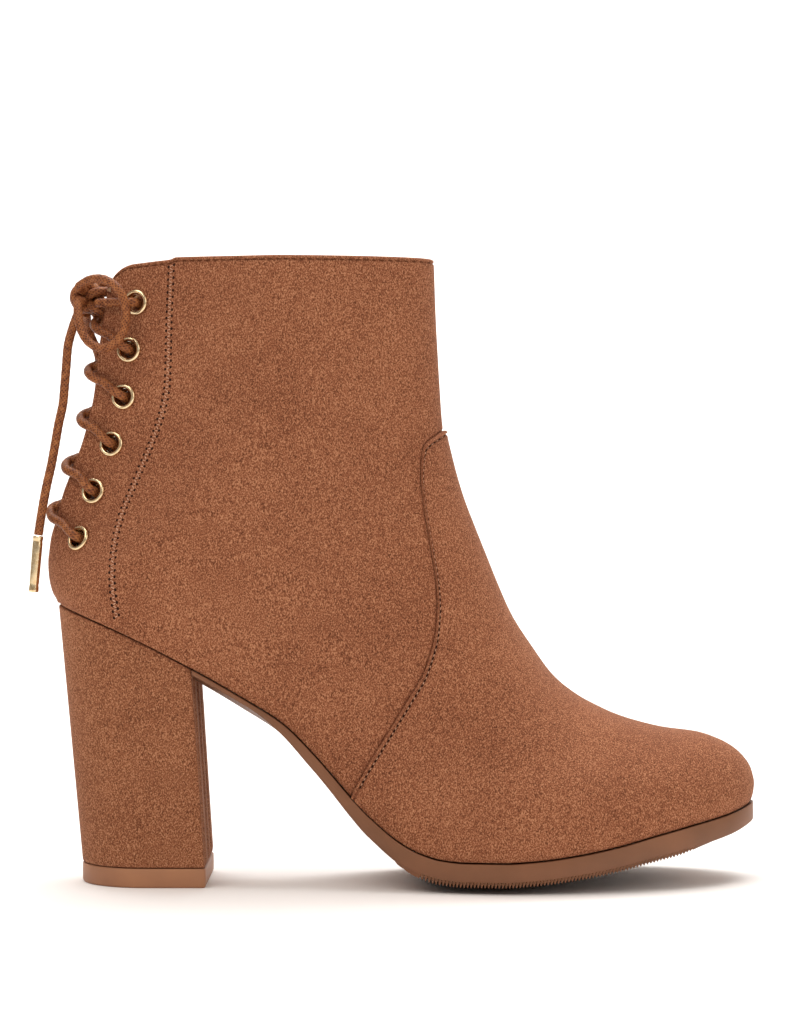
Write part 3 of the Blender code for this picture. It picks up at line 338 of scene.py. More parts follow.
def addPiece(name, points, faces, finish, sharpAngle=50, cornerUv=None):
    # the piece's object stays at the origin and its place goes into the mesh
    mesh = bpy.data.meshes.new(name)
    mesh.from_pydata((np.asarray(points) + bootShift).tolist(), [], faces)
    mesh.update()
    if cornerUv is not None:
        layer = mesh.uv_layers.new(name="cordMap")
        layer.data.foreach_set("uv", np.asarray(cornerUv, dtype=np.float32).ravel())
    mesh.shade_smooth()
    mesh.set_sharp_from_angle(angle=math.radians(sharpAngle))
    mesh.materials.append(finish)
    return newObject(name, mesh)


def dress(piece, slotName, *nodes):
    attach(piece, "root")
    if nodes:
        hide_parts(*nodes)
    return piece


def ringFaces(rows, around, capStart=True, capEnd=True):
    # quads between rings that close on themselves, with a flat cap at each end
    first = (np.arange(rows - 1)[:, None] * around + np.arange(around)[None]).ravel()
    beside = (np.arange(rows - 1)[:, None] * around + (np.arange(around)[None] + 1) % around).ravel()
    faces = np.column_stack((first, beside, beside + around, first + around)).tolist()
    if capStart:
        faces.append(list(range(around))[::-1])
    if capEnd:
        faces.append(list(range((rows - 1) * around, rows * around)))
    return faces


def outwardFaces(points, faces):
    # turned over as a whole if a few of them close a volume below zero
    half = len(faces) // 2
    corners = np.array([points[face[:3]] for face in faces[:4] + faces[half:half + 4]])
    first, second, third = corners.transpose(1, 0, 2)
    volume = np.sum(np.cross(second - first, third - first) * (first - points.mean(axis=0)))
    return faces if volume > 0 else [face[::-1] for face in faces]


def loftPiece(name, rings, finish, sharpAngle=50):
    # rings of equal length skinned in order
    rings = np.asarray(rings)
    points = rings.reshape(-1, 3)
    faces = outwardFaces(points, ringFaces(rings.shape[0], rings.shape[1]))
    return addPiece(name, points, faces, finish, sharpAngle)


def shellPiece(name, grid, outward, inward, level, finish, holes=()):
    # closed wall: the grid moved along its normals by outward and by inward, joined round every open edge
    flat = grid.reshape(-1, 3)
    _, first, index = np.unique(np.round(flat, 7), axis=0, return_index=True, return_inverse=True)
    index = index.reshape(grid.shape[:2])
    base = flat[first].copy()
    quads = np.stack((index[:-1, :-1], index[1:, :-1], index[1:, 1:], index[:-1, 1:]), axis=-1).reshape(-1, 4)
    for centre, normal in holes:
        # quads inside the hole go, and the rim that they leave is drawn to the circle
        away = base - centre
        height = away @ normal
        middle = base[quads].mean(axis=1) - centre
        middleHeight = middle @ normal
        reach = np.linalg.norm(middle - middleHeight[:, None] * normal, axis=1)
        gone = (reach < eyelets["hole"]) & (np.abs(middleHeight) < eyelets["holeReach"])
        rim = np.intersect1d(quads[gone], quads[~gone])
        radial = away[rim] - height[rim, None] * normal
        base[rim] = centre + normal * height[rim, None] + unit(radial) * eyelets["hole"]
        quads = quads[~gone]
    repeated = quads == np.roll(quads, 1, axis=1)
    full = quads[repeated.sum(axis=1) == 0]
    wedge = repeated.sum(axis=1) == 1
    tris = quads[wedge][~repeated[wedge]].reshape(-1, 3)
    normals = np.zeros_like(base)
    for faces, (start, end, otherStart, otherEnd) in ((full, (0, 2, 1, 3)), (tris, (0, 1, 0, 2))):
        corners = base[faces]
        turn = np.cross(corners[:, end] - corners[:, start], corners[:, otherEnd] - corners[:, otherStart])
        for corner in range(faces.shape[1]):
            np.add.at(normals, faces[:, corner], turn)
    normals = unit(normals)
    if np.sum(normals * (base - base.mean(axis=0))) < 0:
        normals, full, tris = -normals, full[:, ::-1], tris[:, ::-1]
    normals[level.ravel()[first], 2] = 0
    normals = unit(normals)
    outer = base + normals * outward.ravel()[first][:, None]
    inner = base + normals * inward.ravel()[first][:, None]
    count = len(base)
    edges = np.concatenate([
        faces[:, [place, (place + 1) % faces.shape[1]]] for faces in (full, tris) for place in range(faces.shape[1])
    ])
    code = edges.min(axis=1) * count + edges.max(axis=1)
    _, where, times = np.unique(code, return_index=True, return_counts=True)
    rims = edges[where[times == 1]]
    walls = np.column_stack((rims[:, 1], rims[:, 0], rims[:, 0] + count, rims[:, 1] + count))
    used = np.zeros(2 * count, dtype=bool)
    used[np.concatenate((full.ravel(), tris.ravel()))] = True
    used[count:] = used[:count]
    renumber = np.cumsum(used) - 1
    groups = (full, tris, full[:, ::-1] + count, tris[:, ::-1] + count, walls)
    faces = [face for group in groups for face in renumber[group].tolist()]
    return addPiece(name, np.concatenate((outer, inner))[used], faces, finish)


def cordLine(points, step=0.0004):
    # cubic through the points, with each tangent taken from its neighbours, spaced evenly
    knots = np.asarray(points, dtype=float)
    run = runAt(knots)
    tangents = np.gradient(knots, run, axis=0)
    at = np.linspace(0, run[-1], max(int(run[-1] / step), 8) + 1)
    cell = np.clip(np.searchsorted(run, at, side="right") - 1, 0, len(run) - 2)
    size = (run[cell + 1] - run[cell])[:, None]
    t = ((at - run[cell])[:, None]) / size
    return hermite(t, knots[cell], knots[cell + 1], tangents[cell] * size, tangents[cell + 1] * size)


cordSizes = {"radius": 0.0015, "around": 20, "braidPitch": 0.0024, "braidStrands": 4, "braidRelief": 0.035}


def cordTube(line, reference):
    # circle carried along the line, swelling where the two sets of braid strands cross
    tangent = unit(np.gradient(line, axis=0))
    across = unit(np.cross(tangent, np.asarray(reference, dtype=float)))
    other = np.cross(across, tangent)
    run = runAt(line)
    angle = np.linspace(0, 2 * math.pi, cordSizes["around"], endpoint=False)
    turn = 2 * math.pi * run[:, None] / cordSizes["braidPitch"]
    strands = cordSizes["braidStrands"] * angle[None]
    braid = np.maximum(np.cos(strands + turn), np.cos(strands - turn))
    radius = cordSizes["radius"] * (1 + cordSizes["braidRelief"] * (braid - 0.5))
    points = (
        line[:, None] + across[:, None] * (np.cos(angle)[None] * radius)[..., None]
        + other[:, None] * (np.sin(angle)[None] * radius)[..., None]
    )
    rows, around = radius.shape
    left, low = np.meshgrid(np.arange(around) / around, run[:-1])
    right, high = left + 1 / around, np.repeat(run[1:, None], around, axis=1)
    quads = [np.stack(corner, axis=-1) for corner in ((left, high), (right, high), (right, low), (left, low))]
    cornerUv = np.concatenate((np.stack(quads, axis=2).reshape(-1, 2), np.zeros((2 * around, 2))))
    return points.reshape(-1, 3), [face[::-1] for face in ringFaces(rows, around)], cornerUv


def joinMeshes(groups):
    points, faces, start = [], [], 0
    for groupPoints, groupFaces in groups:
        points.append(groupPoints)
        faces += [[corner + start for corner in face] for face in groupFaces]
        start += len(groupPoints)
    return np.concatenate(points), faces


def joinedTubes(name, lines, references, finish):
    # tubes in one mesh, each with its own map
    tubes = [cordTube(line, reference) for line, reference in zip(lines, references)]
    points, faces = joinMeshes([tube[:2] for tube in tubes])
    return addPiece(name, points, faces, finish, 60, np.concatenate([tube[2] for tube in tubes]))


def beadRow(centres, ways, normals, half, around=8, rings=5):
    # one squashed sphere for each centre, its long axis along the way and its short one along the normal
    polar = np.linspace(0, math.pi, rings + 2)[1:-1, None]
    angle = np.linspace(0, 2 * math.pi, around, endpoint=False)
    ball = np.broadcast_arrays(np.cos(polar), np.sin(polar) * np.cos(angle), np.sin(polar) * np.sin(angle))
    ball = np.concatenate(([[1, 0, 0]], np.stack(ball, axis=-1).reshape(-1, 3), [[-1, 0, 0]]))
    side = unit(np.cross(normals, ways))
    axes = np.stack((np.cross(side, normals) * half[0], side * half[1], normals * half[2]), axis=1)
    points = centres[:, None] + np.einsum("vk,mkj->mvj", ball, axes)
    quads = np.array(ringFaces(rings, around, False, False)) + 1
    spin = np.arange(around)
    after = (spin + 1) % around
    last = 1 + (rings - 1) * around
    head = np.column_stack((np.zeros_like(spin), 1 + after, 1 + spin))
    tail = np.column_stack((np.full_like(spin, len(ball) - 1), last + spin, last + after))
    start = (np.arange(len(centres)) * len(ball))[:, None, None]
    faces = []
    for group in (quads[:, ::-1], head[:, ::-1], tail[:, ::-1]):
        faces += (group[None] + start).reshape(-1, group.shape[1]).tolist()
    corner = points[0][head[0]]
    outward = np.dot(np.cross(corner[1] - corner[0], corner[2] - corner[0]), corner[0] - centres[0])
    return points.reshape(-1, 3), faces if outward < 0 else [face[::-1] for face in faces]


def addNode(tree, kind, settings=None, links=None):
    # attributes by name, sockets by name or number, links from other sockets
    node = tree.nodes.new(kind)
    for key, value in (settings or {}).items():
        if isinstance(key, str) and hasattr(node, key):
            setattr(node, key, value)
        else:
            node.inputs[key].default_value = value
    for key, source in (links or {}).items():
        tree.links.new(source, node.inputs[key])
    return node


def newFinish(name, settings):
    finish = bpy.data.materials.new(name)
    finish.use_nodes = True
    tree = finish.node_tree
    shader = tree.nodes["Principled BSDF"]
    for key, value in settings.items():
        shader.inputs[key].default_value = value
    return finish, tree, shader


def colourRamp(tree, shader, source, *stops):
    # the pattern's value picks the colour
    ramp = addNode(tree, "ShaderNodeValToRGB", {}, {0: source})
    elements = ramp.color_ramp.elements
    while len(elements) < len(stops):
        elements.new(0.5)
    for element, (place, hexColour) in zip(elements, stops):
        element.position = place
        element.color = toLinear(hexColour)
    tree.links.new(ramp.outputs[0], shader.inputs["Base Color"])


def objectPlace(tree):
    return addNode(tree, "ShaderNodeTexCoord").outputs["Object"]


def noise(tree, place, scale, detail, more=None):
    # scale is the number of spots in a metre of the real thing, so 1000 gives one each millimetre
    settings = {"Scale": scale, "Detail": detail, **(more or {})}
    return addNode(tree, "ShaderNodeTexNoise", settings, {"Vector": place}).outputs[0]


def maths(tree, operation, *inputs):
    # numbers are set on the node and anything else is linked to it
    settings, links = {"operation": operation}, {}
    for number, value in enumerate(inputs):
        (settings if isinstance(value, float) else links)[number] = value
    return addNode(tree, "ShaderNodeMath", settings, links).outputs[0]


def addBump(tree, shader, height, strength, distance):
    bump = addNode(tree, "ShaderNodeBump", {"Strength": strength, "Distance": distance}, {"Height": height})
    tree.links.new(bump.outputs[0], shader.inputs["Normal"])


def varyRoughness(tree, shader, source, low, high):
    rough = addNode(tree, "ShaderNodeMapRange", {"To Min": low, "To Max": high}, {"Value": source})
    tree.links.new(rough.outputs[0], shader.inputs["Roughness"])


def fauxSuede(name, dark, middle, light):
    # microfibre faux suede, sheared nap: matt with a soft sheen, mottled where the nap lies in different ways
    finish, tree, shader = newFinish(name, {
        "Roughness": 0.92, "Sheen Weight": 0.12, "Sheen Roughness": 0.45, "Sheen Tint": toLinear("#d9a583"),
        "Specular IOR Level": 0.25,
    })
    grain = 0.00038  # metres: about twice as coarse as real nap, which is too fine to show in the render
    place = objectPlace(tree)
    lean = {"Rotation": (0.0, 0.8, 0.0), "Scale": (1.0, 1.0, 0.72)}
    leaning = addNode(tree, "ShaderNodeMapping", lean, {"Vector": place}).outputs[0]
    fibres = noise(tree, leaning, 1.0 / grain, 2.0, {"Roughness": 0.6})
    clumps = noise(tree, place, 420.0, 2.0, {"Roughness": 0.6})
    clouds = noise(tree, place, 30.0, 2.0, {"Roughness": 0.5, "Distortion": 0.3})
    nap = maths(tree, "MULTIPLY_ADD", fibres, 0.84, maths(tree, "MULTIPLY", clumps, 0.07))
    nap = maths(tree, "MULTIPLY_ADD", clouds, 0.09, nap)
    colourRamp(tree, shader, nap, (0.365, dark), (0.50, middle), (0.655, light))
    addBump(tree, shader, nap, 0.45, 0.0002)
    return finish


def tricotLining():
    # brushed tricot lining: fine knitted ribs, soft and matt
    look = {"Roughness": 0.9, "Sheen Weight": 0.15, "Sheen Roughness": 0.5}
    finish, tree, shader = newFinish("brushedTricotLining", look)
    place = objectPlace(tree)
    ribs = {"Scale": 260.0, "Distortion": 1.5, "Detail": 2.0, "Detail Scale": 3.0}
    ribs = addNode(tree, "ShaderNodeTexWave", ribs, {"Vector": place}).outputs[1]
    knit = maths(tree, "MULTIPLY_ADD", ribs, 0.4, noise(tree, place, 900.0, 3.0))
    colourRamp(tree, shader, knit, (0.3, "#a98262"), (0.9, "#cfab8a"))
    addBump(tree, shader, knit, 0.4, 0.0002)
    return finish


def mouldedRubber(name, dark, light, roughness):
    # injection moulded thermoplastic rubber: even, slightly greasy gloss with faint flow clouds and a fine pebble
    finish, tree, shader = newFinish(name, {"Roughness": roughness, "Specular IOR Level": 0.45})
    place = objectPlace(tree)
    clouds = noise(tree, place, 55.0, 4.0)
    colourRamp(tree, shader, clouds, (0.3, dark), (0.7, light))
    varyRoughness(tree, shader, clouds, roughness - 0.08, roughness + 0.1)
    addBump(tree, shader, noise(tree, place, 1600.0, 2.0), 0.25, 0.00008)
    return finish


def plaitedCord():
    # waxed polyester cord, plaited: painted light on the strand crowns and painted shade in the gaps between strands,
    # over the wax's own mottling
    finish, tree, shader = newFinish("waxedPlaitedCord", {"Roughness": 0.5, "Specular IOR Level": 0.22})
    strands, pitch = 8, 0.0013
    uv = addNode(tree, "ShaderNodeUVMap", {"uv_map": "cordMap"}).outputs[0]
    parts = addNode(tree, "ShaderNodeSeparateXYZ", {}, {0: uv})
    spin = maths(tree, "MULTIPLY", parts.outputs[0], 2 * math.pi * strands)
    run = maths(tree, "MULTIPLY", parts.outputs[1], 2 * math.pi / pitch)
    right, left = (maths(tree, "COSINE", maths(tree, way, spin, run)) for way in ("ADD", "SUBTRACT"))
    wax = noise(tree, objectPlace(tree), 700.0, 3.0)
    plaitShadeAndWax = maths(tree, "MULTIPLY_ADD", maths(tree, "MAXIMUM", right, left), 0.22, wax)
    # painted shade in the strand gaps and painted light on the crowns, plus the wax's real mottling
    colourRamp(tree, shader, plaitShadeAndWax, (0.25, "#43210f"), (0.55, "#7d4628"), (0.85, "#a5693c"))
    addBump(tree, shader, plaitShadeAndWax, 0.5, 0.00025)
    return finish


def platedBrass():
    # brass with a pale gold plating, rolled and barrel polished: sharp highlights, faint rubbing marks
    finish, tree, shader = newFinish("paleGoldPlatedBrass", {"Metallic": 1.0, "Roughness": 0.18})
    marks = noise(tree, objectPlace(tree), 900.0, 3.0)
    colourRamp(tree, shader, marks, (0.3, "#d9b98a"), (0.7, "#efdbb4"))
    varyRoughness(tree, shader, marks, 0.12, 0.28)
    return finish


def plainThread(name, dark, light):
    # spun polyester thread: short light and dark flecks; with near-black colours it also gives the painted shade inside
    # needle holes
    finish, tree, shader = newFinish(name, {"Roughness": 0.7, "Specular IOR Level": 0.1})
    flecks = noise(tree, objectPlace(tree), 2500.0, 2.0)
    colourRamp(tree, shader, flecks, (0.3, dark), (0.7, light))
    return finish


suede = fauxSuede("tanFauxSuede", "#57311d", "#885035", "#ba835f")
# the same suede as the upper, in a copy whose tones are nudged to match how the heel is lit: a little painted light
heelLitSuede = fauxSuede("tanFauxSuedeHeelLightMatched", "#58321e", "#885236", "#b8835f")
lining = tricotLining()
soleRubber = mouldedRubber("tanSoleRubber", "#6e4529", "#7f5133", 0.5)
topPieceRubber = mouldedRubber("tanTopPieceRubber", "#946448", "#a67350", 0.55)
cord = plaitedCord()
gold = platedBrass()
seamThread = plainThread("rosySeamThread", "#a06f55", "#d6a98c")
brownThread = plainThread("brownThread", "#4d2917", "#6f4026")
# painted shade: the shade inside a punched needle hole, drawn as a small dark bead
holeShade = plainThread("needleHoleShade", "#200f08", "#30180e")

viewing = {"aim": (0.1173, 0.0, 0.1244), "distance": 1.025, "height": 0.1366, "lens": 138.4, "sensor": 36.0}


def setCamera():
    data = bpy.data.cameras.new("photoCamera")
    data.sensor_fit = "HORIZONTAL"
    data.sensor_width = viewing["sensor"]
    data.lens = viewing["lens"]
    camera = newObject("photoCamera", data)
    aim = np.array(viewing["aim"]) + bootShift
    camera.location = (aim[0], aim[1] - viewing["distance"], viewing["height"])
    camera.rotation_euler = (math.pi / 2 - math.atan2(viewing["height"] - aim[2], viewing["distance"]), 0, 0)
    bpy.context.scene.camera = camera


def addLight(name, place, aim, size, power, colour):
    data = bpy.data.lights.new(name, "AREA")
    data.shape = "RECTANGLE"
    data.size, data.size_y = size
    data.energy = power
    data.color = toLinear(colour)[:3]
    light = newObject(name, data)
    light.location = place
    across, ahead, up = np.array(aim) - np.array(place)
    light.rotation_euler = (math.atan2(math.hypot(across, ahead), -up), 0, math.atan2(ahead, across) - math.pi / 2)


studio = {"half": 3.0, "back": 1.3, "radius": 0.9, "height": 3.2, "rows": 24, "world": "#fffaf6", "worldPower": 0.42}

# each light's name, place, aim, size, power in watts and colour
lights = (
    ("keySoftbox", (-0.7, -1.1, 1.5), (0.02, 0.0, 0.08), (1.1, 1.1), 12.0, "#fff6ee"),
    ("fillSoftbox", (1.1, -0.9, 0.7), (0.0, 0.0, 0.08), (0.9, 0.9), 4.2, "#fff8f2"),
    ("topSoftbox", (0.12, 0.25, 1.9), (0.12, 0.0, 0.0), (1.6, 1.1), 27.0, "#ffffff"),
    ("wallSoftbox", (0.1, 0.9, 1.9), (0.1, 2.2, 0.5), (2.4, 0.8), 40.0, "#ffffff"),
)


def setStudio():
    # seamless paper: flat, then a quarter circle, then upright, the same across
    half, back, radius = studio["half"], studio["back"], studio["radius"]
    turn = np.linspace(0, math.pi / 2, studio["rows"])
    run = np.concatenate(([-half], back + radius * np.sin(turn), [back + radius]))
    rise = np.concatenate(([0.0], radius * (1 - np.cos(turn)), [studio["height"]]))
    grid = np.stack(np.broadcast_arrays(np.array([-half, half]), run[:, None], rise[:, None]), axis=-1)
    index = np.arange(len(run) * 2).reshape(-1, 2)
    faces = np.stack((index[:-1, 0], index[:-1, 1], index[1:, 1], index[1:, 0]), axis=-1).tolist()
    paper = newFinish("whiteSeamlessPaper", {"Roughness": 0.85, "Base Color": toLinear("#f6f3f0")})[0]
    sweep = addPiece("studioPaper", grid.reshape(-1, 3) - bootShift, faces, paper)
    world = bpy.data.worlds.new("softStudio")
    bpy.context.scene.world = world
    world.use_nodes = True
    background = world.node_tree.nodes["Background"]
    background.inputs[0].default_value = toLinear(studio["world"])
    background.inputs[1].default_value = studio["worldPower"]
    for light in lights:
        addLight(*light)
    # shown as it is lit, so that the paper comes out white
    bpy.context.scene.view_settings.view_transform = "Standard"


setCamera()
setStudio()
print("camera, floor and lights are set")

eyelets = {
    "count": 6, "outer": 0.0043, "bore": 0.0028, "barrel": 0.0031, "back": 0.0037, "lip": 0.00085, "play": 0.0005,
    "setback": 0.0107, "topDrop": 0.0147, "bottomDrop": 0.0925, "wall": 0.0018, "hole": 0.0034, "holeReach": 0.006,
    "flange": 0.0024,
}


def eyeletSpot(number, side):
    drop = eyelets["topDrop"] + (eyelets["bottomDrop"] - eyelets["topDrop"]) * number / (eyelets["count"] - 1)
    z = boot["seatHeight"] + boot["shaftHeight"] - drop
    return surfaceAt(backEdge(z) + eyelets["setback"], z, side)


def turnedPiece(name, profile, centre, axis, finish, segments=48, closed=True):
    # profile of radius and height carried round an axis
    axis = unit(axis)
    across = unit(np.cross(axis, (0.0, 0.0, 1.0) if abs(axis[2]) < 0.8 else (1.0, 0.0, 0.0)))
    other = np.cross(axis, across)
    angle = np.linspace(0, 2 * math.pi, segments, endpoint=False)
    out = np.cos(angle)[:, None] * across + np.sin(angle)[:, None] * other
    points = centre + out[:, None] * profile[None, :, :1] + axis * profile[None, :, 1:]
    rows = len(profile)
    here = np.arange(segments)[:, None] * rows
    after = np.roll(here, -1)
    place = np.arange(rows if closed else rows - 1)[None]
    beside = (place + 1) % rows
    faces = np.stack((here + place, after + place, after + beside, here + beside), axis=-1).reshape(-1, 4).tolist()
    if not closed:
        faces += [here[::-1, 0].tolist(), (here[:, 0] + rows - 1).tolist()]
    return addPiece(name, points.reshape(-1, 3), faces, finish, 40)


def eyeletProfile():
    # a rolled rim drawn as half an ellipse, then the barrel and the flange behind the wall
    outer, bore, barrel, back = (eyelets[name] for name in ("outer", "bore", "barrel", "back"))
    turn = np.linspace(-0.25, math.pi + 0.2, 18)
    lift = eyelets["play"] * 0.6 + eyelets["lip"] * np.sin(turn)
    rim = np.column_stack(((outer + bore) / 2 + (outer - bore) / 2 * np.cos(turn), lift))
    inside = -eyelets["flange"]
    return np.concatenate((rim, [
        (bore + 0.00002, -0.0004), (bore + 0.00006, inside - 0.0003), (back - 0.0002, inside - 0.0006),
        (back, inside - 0.0002), (back - 0.0003, inside), (barrel, inside), (barrel, 0.0001),
    ]))


for label, side in (("near", -1), ("far", 1)):
    for number in range(eyelets["count"]):
        centre, normal = eyeletSpot(number, side)
        ring = turnedPiece(f"eyelet{label.title()}{number + 1}", eyeletProfile()[::-1], centre, normal, gold)
        dress(ring, "gold_metal", f"eyelet_{label}_{number + 1}")
print("twelve eyelets are made")


# the lace's run over the panels: how far behind their edge it bends and how far it stands off them
lacing = {
    "bend": 0.0045, "lift": 0.0008, "offSlit": 0.0009, "overStand": 0.0026, "underStand": 0.0006,
    "rises": (0.46, 0.63, 0.78), "bendRise": 0.27,
}


def strandLine(lower, side, stand):
    # out of the lower eyelet, over the panel's edge, across the slit and in behind the next eyelet on the other side
    outCentre, outNormal = eyeletSpot(lower, side)
    inCentre, inNormal = eyeletSpot(lower - 1, -side)
    radius, wall = cordSizes["radius"], eyelets["wall"]
    rise = inCentre[2] - outCentre[2]
    edgeZ, crossZ, underZ = (outCentre[2] + share * rise for share in lacing["rises"])
    bend, bendNormal = surfaceAt(backEdge(edgeZ) + lacing["bend"], outCentre[2] + lacing["bendRise"] * rise, side)
    upWay = np.array([0.0, 0.0, 1.0])
    return cordLine([
        outCentre - outNormal * 0.0034 + upWay * 0.0004,
        outCentre - outNormal * 0.0012 + upWay * 0.0002,
        outCentre + outNormal * 0.0012 + upWay * 0.0006 - np.array([0.0007, 0, 0]),
        (outCentre + outNormal * 0.0024) * 0.62 + (bend + bendNormal * (radius + 0.0010)) * 0.38,
        bend + bendNormal * (radius + lacing["lift"]),
        np.array([backEdge(edgeZ) - 0.0015, side * (slitGap(edgeZ) + lacing["offSlit"]), edgeZ]),
        np.array([backEdge(crossZ) - stand, 0.0, crossZ]),
        np.array([backEdge(underZ) + 0.0030, -side * (slitGap(underZ) - 0.0032), underZ]),
        inCentre - inNormal * (wall + 0.0030) - np.array([0.0012, 0, 0.0014]),
        inCentre - inNormal * (wall + 0.0012) - upWay * 0.0006,
        inCentre - inNormal * 0.0012,
    ])


ahead, sideways, upward = (1.0, 0.0, 0.0), (0.0, 1.0, 0.0), (0.0, 0.0, 1.0)
for number in range(1, eyelets["count"]):
    lower = eyelets["count"] - number
    strands = strandLine(lower, -1, lacing["overStand"]), strandLine(lower, 1, lacing["underStand"])
    crossing = joinedTubes(f"laceCross{number}", strands, [upward] * 2, cord)
    dress(crossing, "lace_cord", f"lace_cross_{number}")


def topBarLine():
    # from the near top eyelet over the slit to the far one
    arms = []
    for side in (-1, 1):
        centre, normal = eyeletSpot(0, side)
        z = centre[2]
        bend, bendNormal = surfaceAt(backEdge(z) + lacing["bend"], z, side)
        arm = [
            centre - normal * 0.0030,
            centre - normal * 0.0008,
            centre + normal * 0.0014 - np.array([0.0006, 0, 0]),
            (centre + normal * 0.0026) * 0.6 + (bend + bendNormal * 0.0025) * 0.4,
            bend + bendNormal * (cordSizes["radius"] + lacing["lift"]),
            np.array([backEdge(z) - 0.0019, side * (slitGap(z) + lacing["offSlit"]), z]),
        ]
        arms += arm if side < 0 else [np.array([backEdge(z) - 0.0022, 0.0, z])] + arm[::-1]
    return cordLine(arms)


dress(joinedTubes("laceTopBar", [topBarLine()], [upward], cord), "lace_cord", "lace_top_bar")
print("lacing is threaded")

bow = {
    "knotCentre": (0.0118, 0.0, 0.1940),
    "loopNear": (
        (0.0110, -0.0072, 0.1972), (0.0150, -0.0105, 0.1992), (0.0205, -0.0144, 0.1990), (0.0252, -0.0165, 0.1956),
        (0.0274, -0.0172, 0.1900), (0.0272, -0.0172, 0.1840), (0.0248, -0.0167, 0.1790), (0.0204, -0.0155, 0.1766),
        (0.0158, -0.0140, 0.1780), (0.0126, -0.0122, 0.1822), (0.0112, -0.0100, 0.1876), (0.0108, -0.0074, 0.1926),
    ),
    "loopFar": (
        (0.0125, 0.0072, 0.1972), (0.0168, 0.0100, 0.1988), (0.0222, 0.0138, 0.1993), (0.0272, 0.0166, 0.1972),
        (0.0308, 0.0177, 0.1920), (0.0314, 0.0178, 0.1855), (0.0294, 0.0176, 0.1797), (0.0255, 0.0168, 0.1766),
        (0.0214, 0.0155, 0.1782), (0.0184, 0.0136, 0.1826), (0.0156, 0.0105, 0.1880), (0.0126, 0.0074, 0.1928),
    ),
    "endNear": (
        (0.0104, -0.0026, 0.1888), (0.0086, -0.0048, 0.1830), (0.0075, -0.0066, 0.1780), (0.0070, -0.0077, 0.1714),
        (0.0065, -0.0082, 0.1647), (0.0059, -0.0086, 0.1581), (0.0045, -0.0089, 0.1515), (0.0034, -0.0092, 0.1449),
        (0.0022, -0.0094, 0.1383), (0.0007, -0.0096, 0.1316), (-0.0011, -0.0098, 0.1217), (-0.0021, -0.0098, 0.1151),
    ),
    "endFar": (
        (0.0126, 0.0028, 0.1888), (0.0124, 0.0078, 0.1850), (0.0134, 0.0106, 0.1812), (0.0153, 0.0126, 0.1765),
        (0.0163, 0.0133, 0.1700), (0.0161, 0.0136, 0.1630), (0.0148, 0.0138, 0.1550), (0.0124, 0.0140, 0.1465),
        (0.0094, 0.0144, 0.1375), (0.0066, 0.0149, 0.1285), (0.0048, 0.0155, 0.1205), (0.0040, 0.0160, 0.1145),
    ),
    "agletNearTip": (-0.0039, -0.0098, 0.0945),
    "agletFarTip": (0.0033, 0.0168, 0.0943),
    "agletRadius": 0.0017,
    "agletLength": 0.0186,
}


def makeKnot():
    # turns of cord round the crossing, and the cords that they hold, which run out to the loops and ends, in mm
    spin = np.linspace(0.5 * math.pi, 5.9 * math.pi, 90)
    across = np.linspace(-1, 1, 90)
    bulge = 0.7 * (1 - across ** 2)
    wrap = np.column_stack((1.3 + (3.6 + bulge) * np.cos(spin), 3.0 * across, (3.3 + bulge) * np.sin(spin)))
    held = (
        ((-0.8, -7.2, 3.2), (0.2, -4.0, 2.3), (1.2, 0.0, 1.5), (1.0, 4.0, 2.3), (0.7, 7.2, 3.2)),
        ((-1.0, -7.4, -1.4), (0.2, -4.0, -1.5), (1.2, 0.0, -1.6), (1.0, 4.0, -1.5), (0.8, 7.4, -1.2)),
        (
            (-1.4, -2.6, -5.2), (-1.0, -3.4, -2.6), (-0.9, -1.6, 0.2), (0.9, 1.6, 0.2), (0.9, 3.4, -2.6),
            (0.8, 2.8, -5.2),
        ),
        ((8.8, -3.4, 1.9), (4.6, -3.9, 1.6), (1.6, -1.5, 0.0), (2.0, 1.5, 0.0), (4.6, 3.9, 1.6), (8.8, 3.4, 1.9)),
        ((8.2, -2.8, -4.6), (5.0, -3.6, -4.3), (2.0, -1.4, -1.8), (2.4, 1.4, -1.8), (5.0, 3.6, -4.3), (8.2, 2.8, -4.6)),
    )
    lines = [cordLine(np.array(bow["knotCentre"]) + np.array(points) * 0.001) for points in (wrap, *held)]
    return joinedTubes("laceKnot", lines, (sideways, upward, upward, ahead, upward, upward), cord)


dress(makeKnot(), "lace_cord", "lace_knot")

# a crimped tube, as shares of its length and radius: flared mouth, pressed waist, straight, rounded and flared tip
agletRows = np.array((
    (0, 0.9), (0.01, 1), (0.06, 1), (0.08, 0.93), (0.11, 0.93), (0.13, 0.99), (0.3, 0.98), (0.6, 0.96), (0.84, 0.94),
    (0.87, 0.88), (0.9, 0.94), (0.96, 1), (0.985, 0.99), (0.997, 0.88), (1, 0.7),
))

agletPieces = {}
for label, tipName, endName in (("near", "agletNearTip", "endNear"), ("far", "agletFarTip", "endFar")):
    start = np.array(bow[endName][-1])
    way = unit(np.array(bow[tipName]) - start)
    profile = np.column_stack((agletRows[:, 1] * bow["agletRadius"], 0.0003 + agletRows[:, 0] * bow["agletLength"]))
    aglet = turnedPiece(f"aglet{label.title()}", profile, start, way, gold, 32, False)
    agletPieces[label] = dress(aglet, "gold_metal", f"aglet_{label}")

cordFacts = (
    # name, node, route, far end, lay, pieces on it, reference for the tube's turn
    ("laceLoopNear", "lace_loop_near", "loopNear", "object", "hanging", [], sideways),
    ("laceLoopFar", "lace_loop_far", "loopFar", "object", "hanging", [], sideways),
    ("laceEndNear", "lace_end_near", "endNear", "fitting", "hanging", [agletPieces["near"]], ahead),
    ("laceEndFar", "lace_end_far", "endFar", "fitting", "hanging", [agletPieces["far"]], ahead),
)
for pieceName, node, route, farEnd, lay, onIt, reference in cordFacts:
    line = cordLine(bow[route])
    piece = joinedTubes(pieceName, [line], [reference], cord)
    dress(piece, "lace_cord", node)

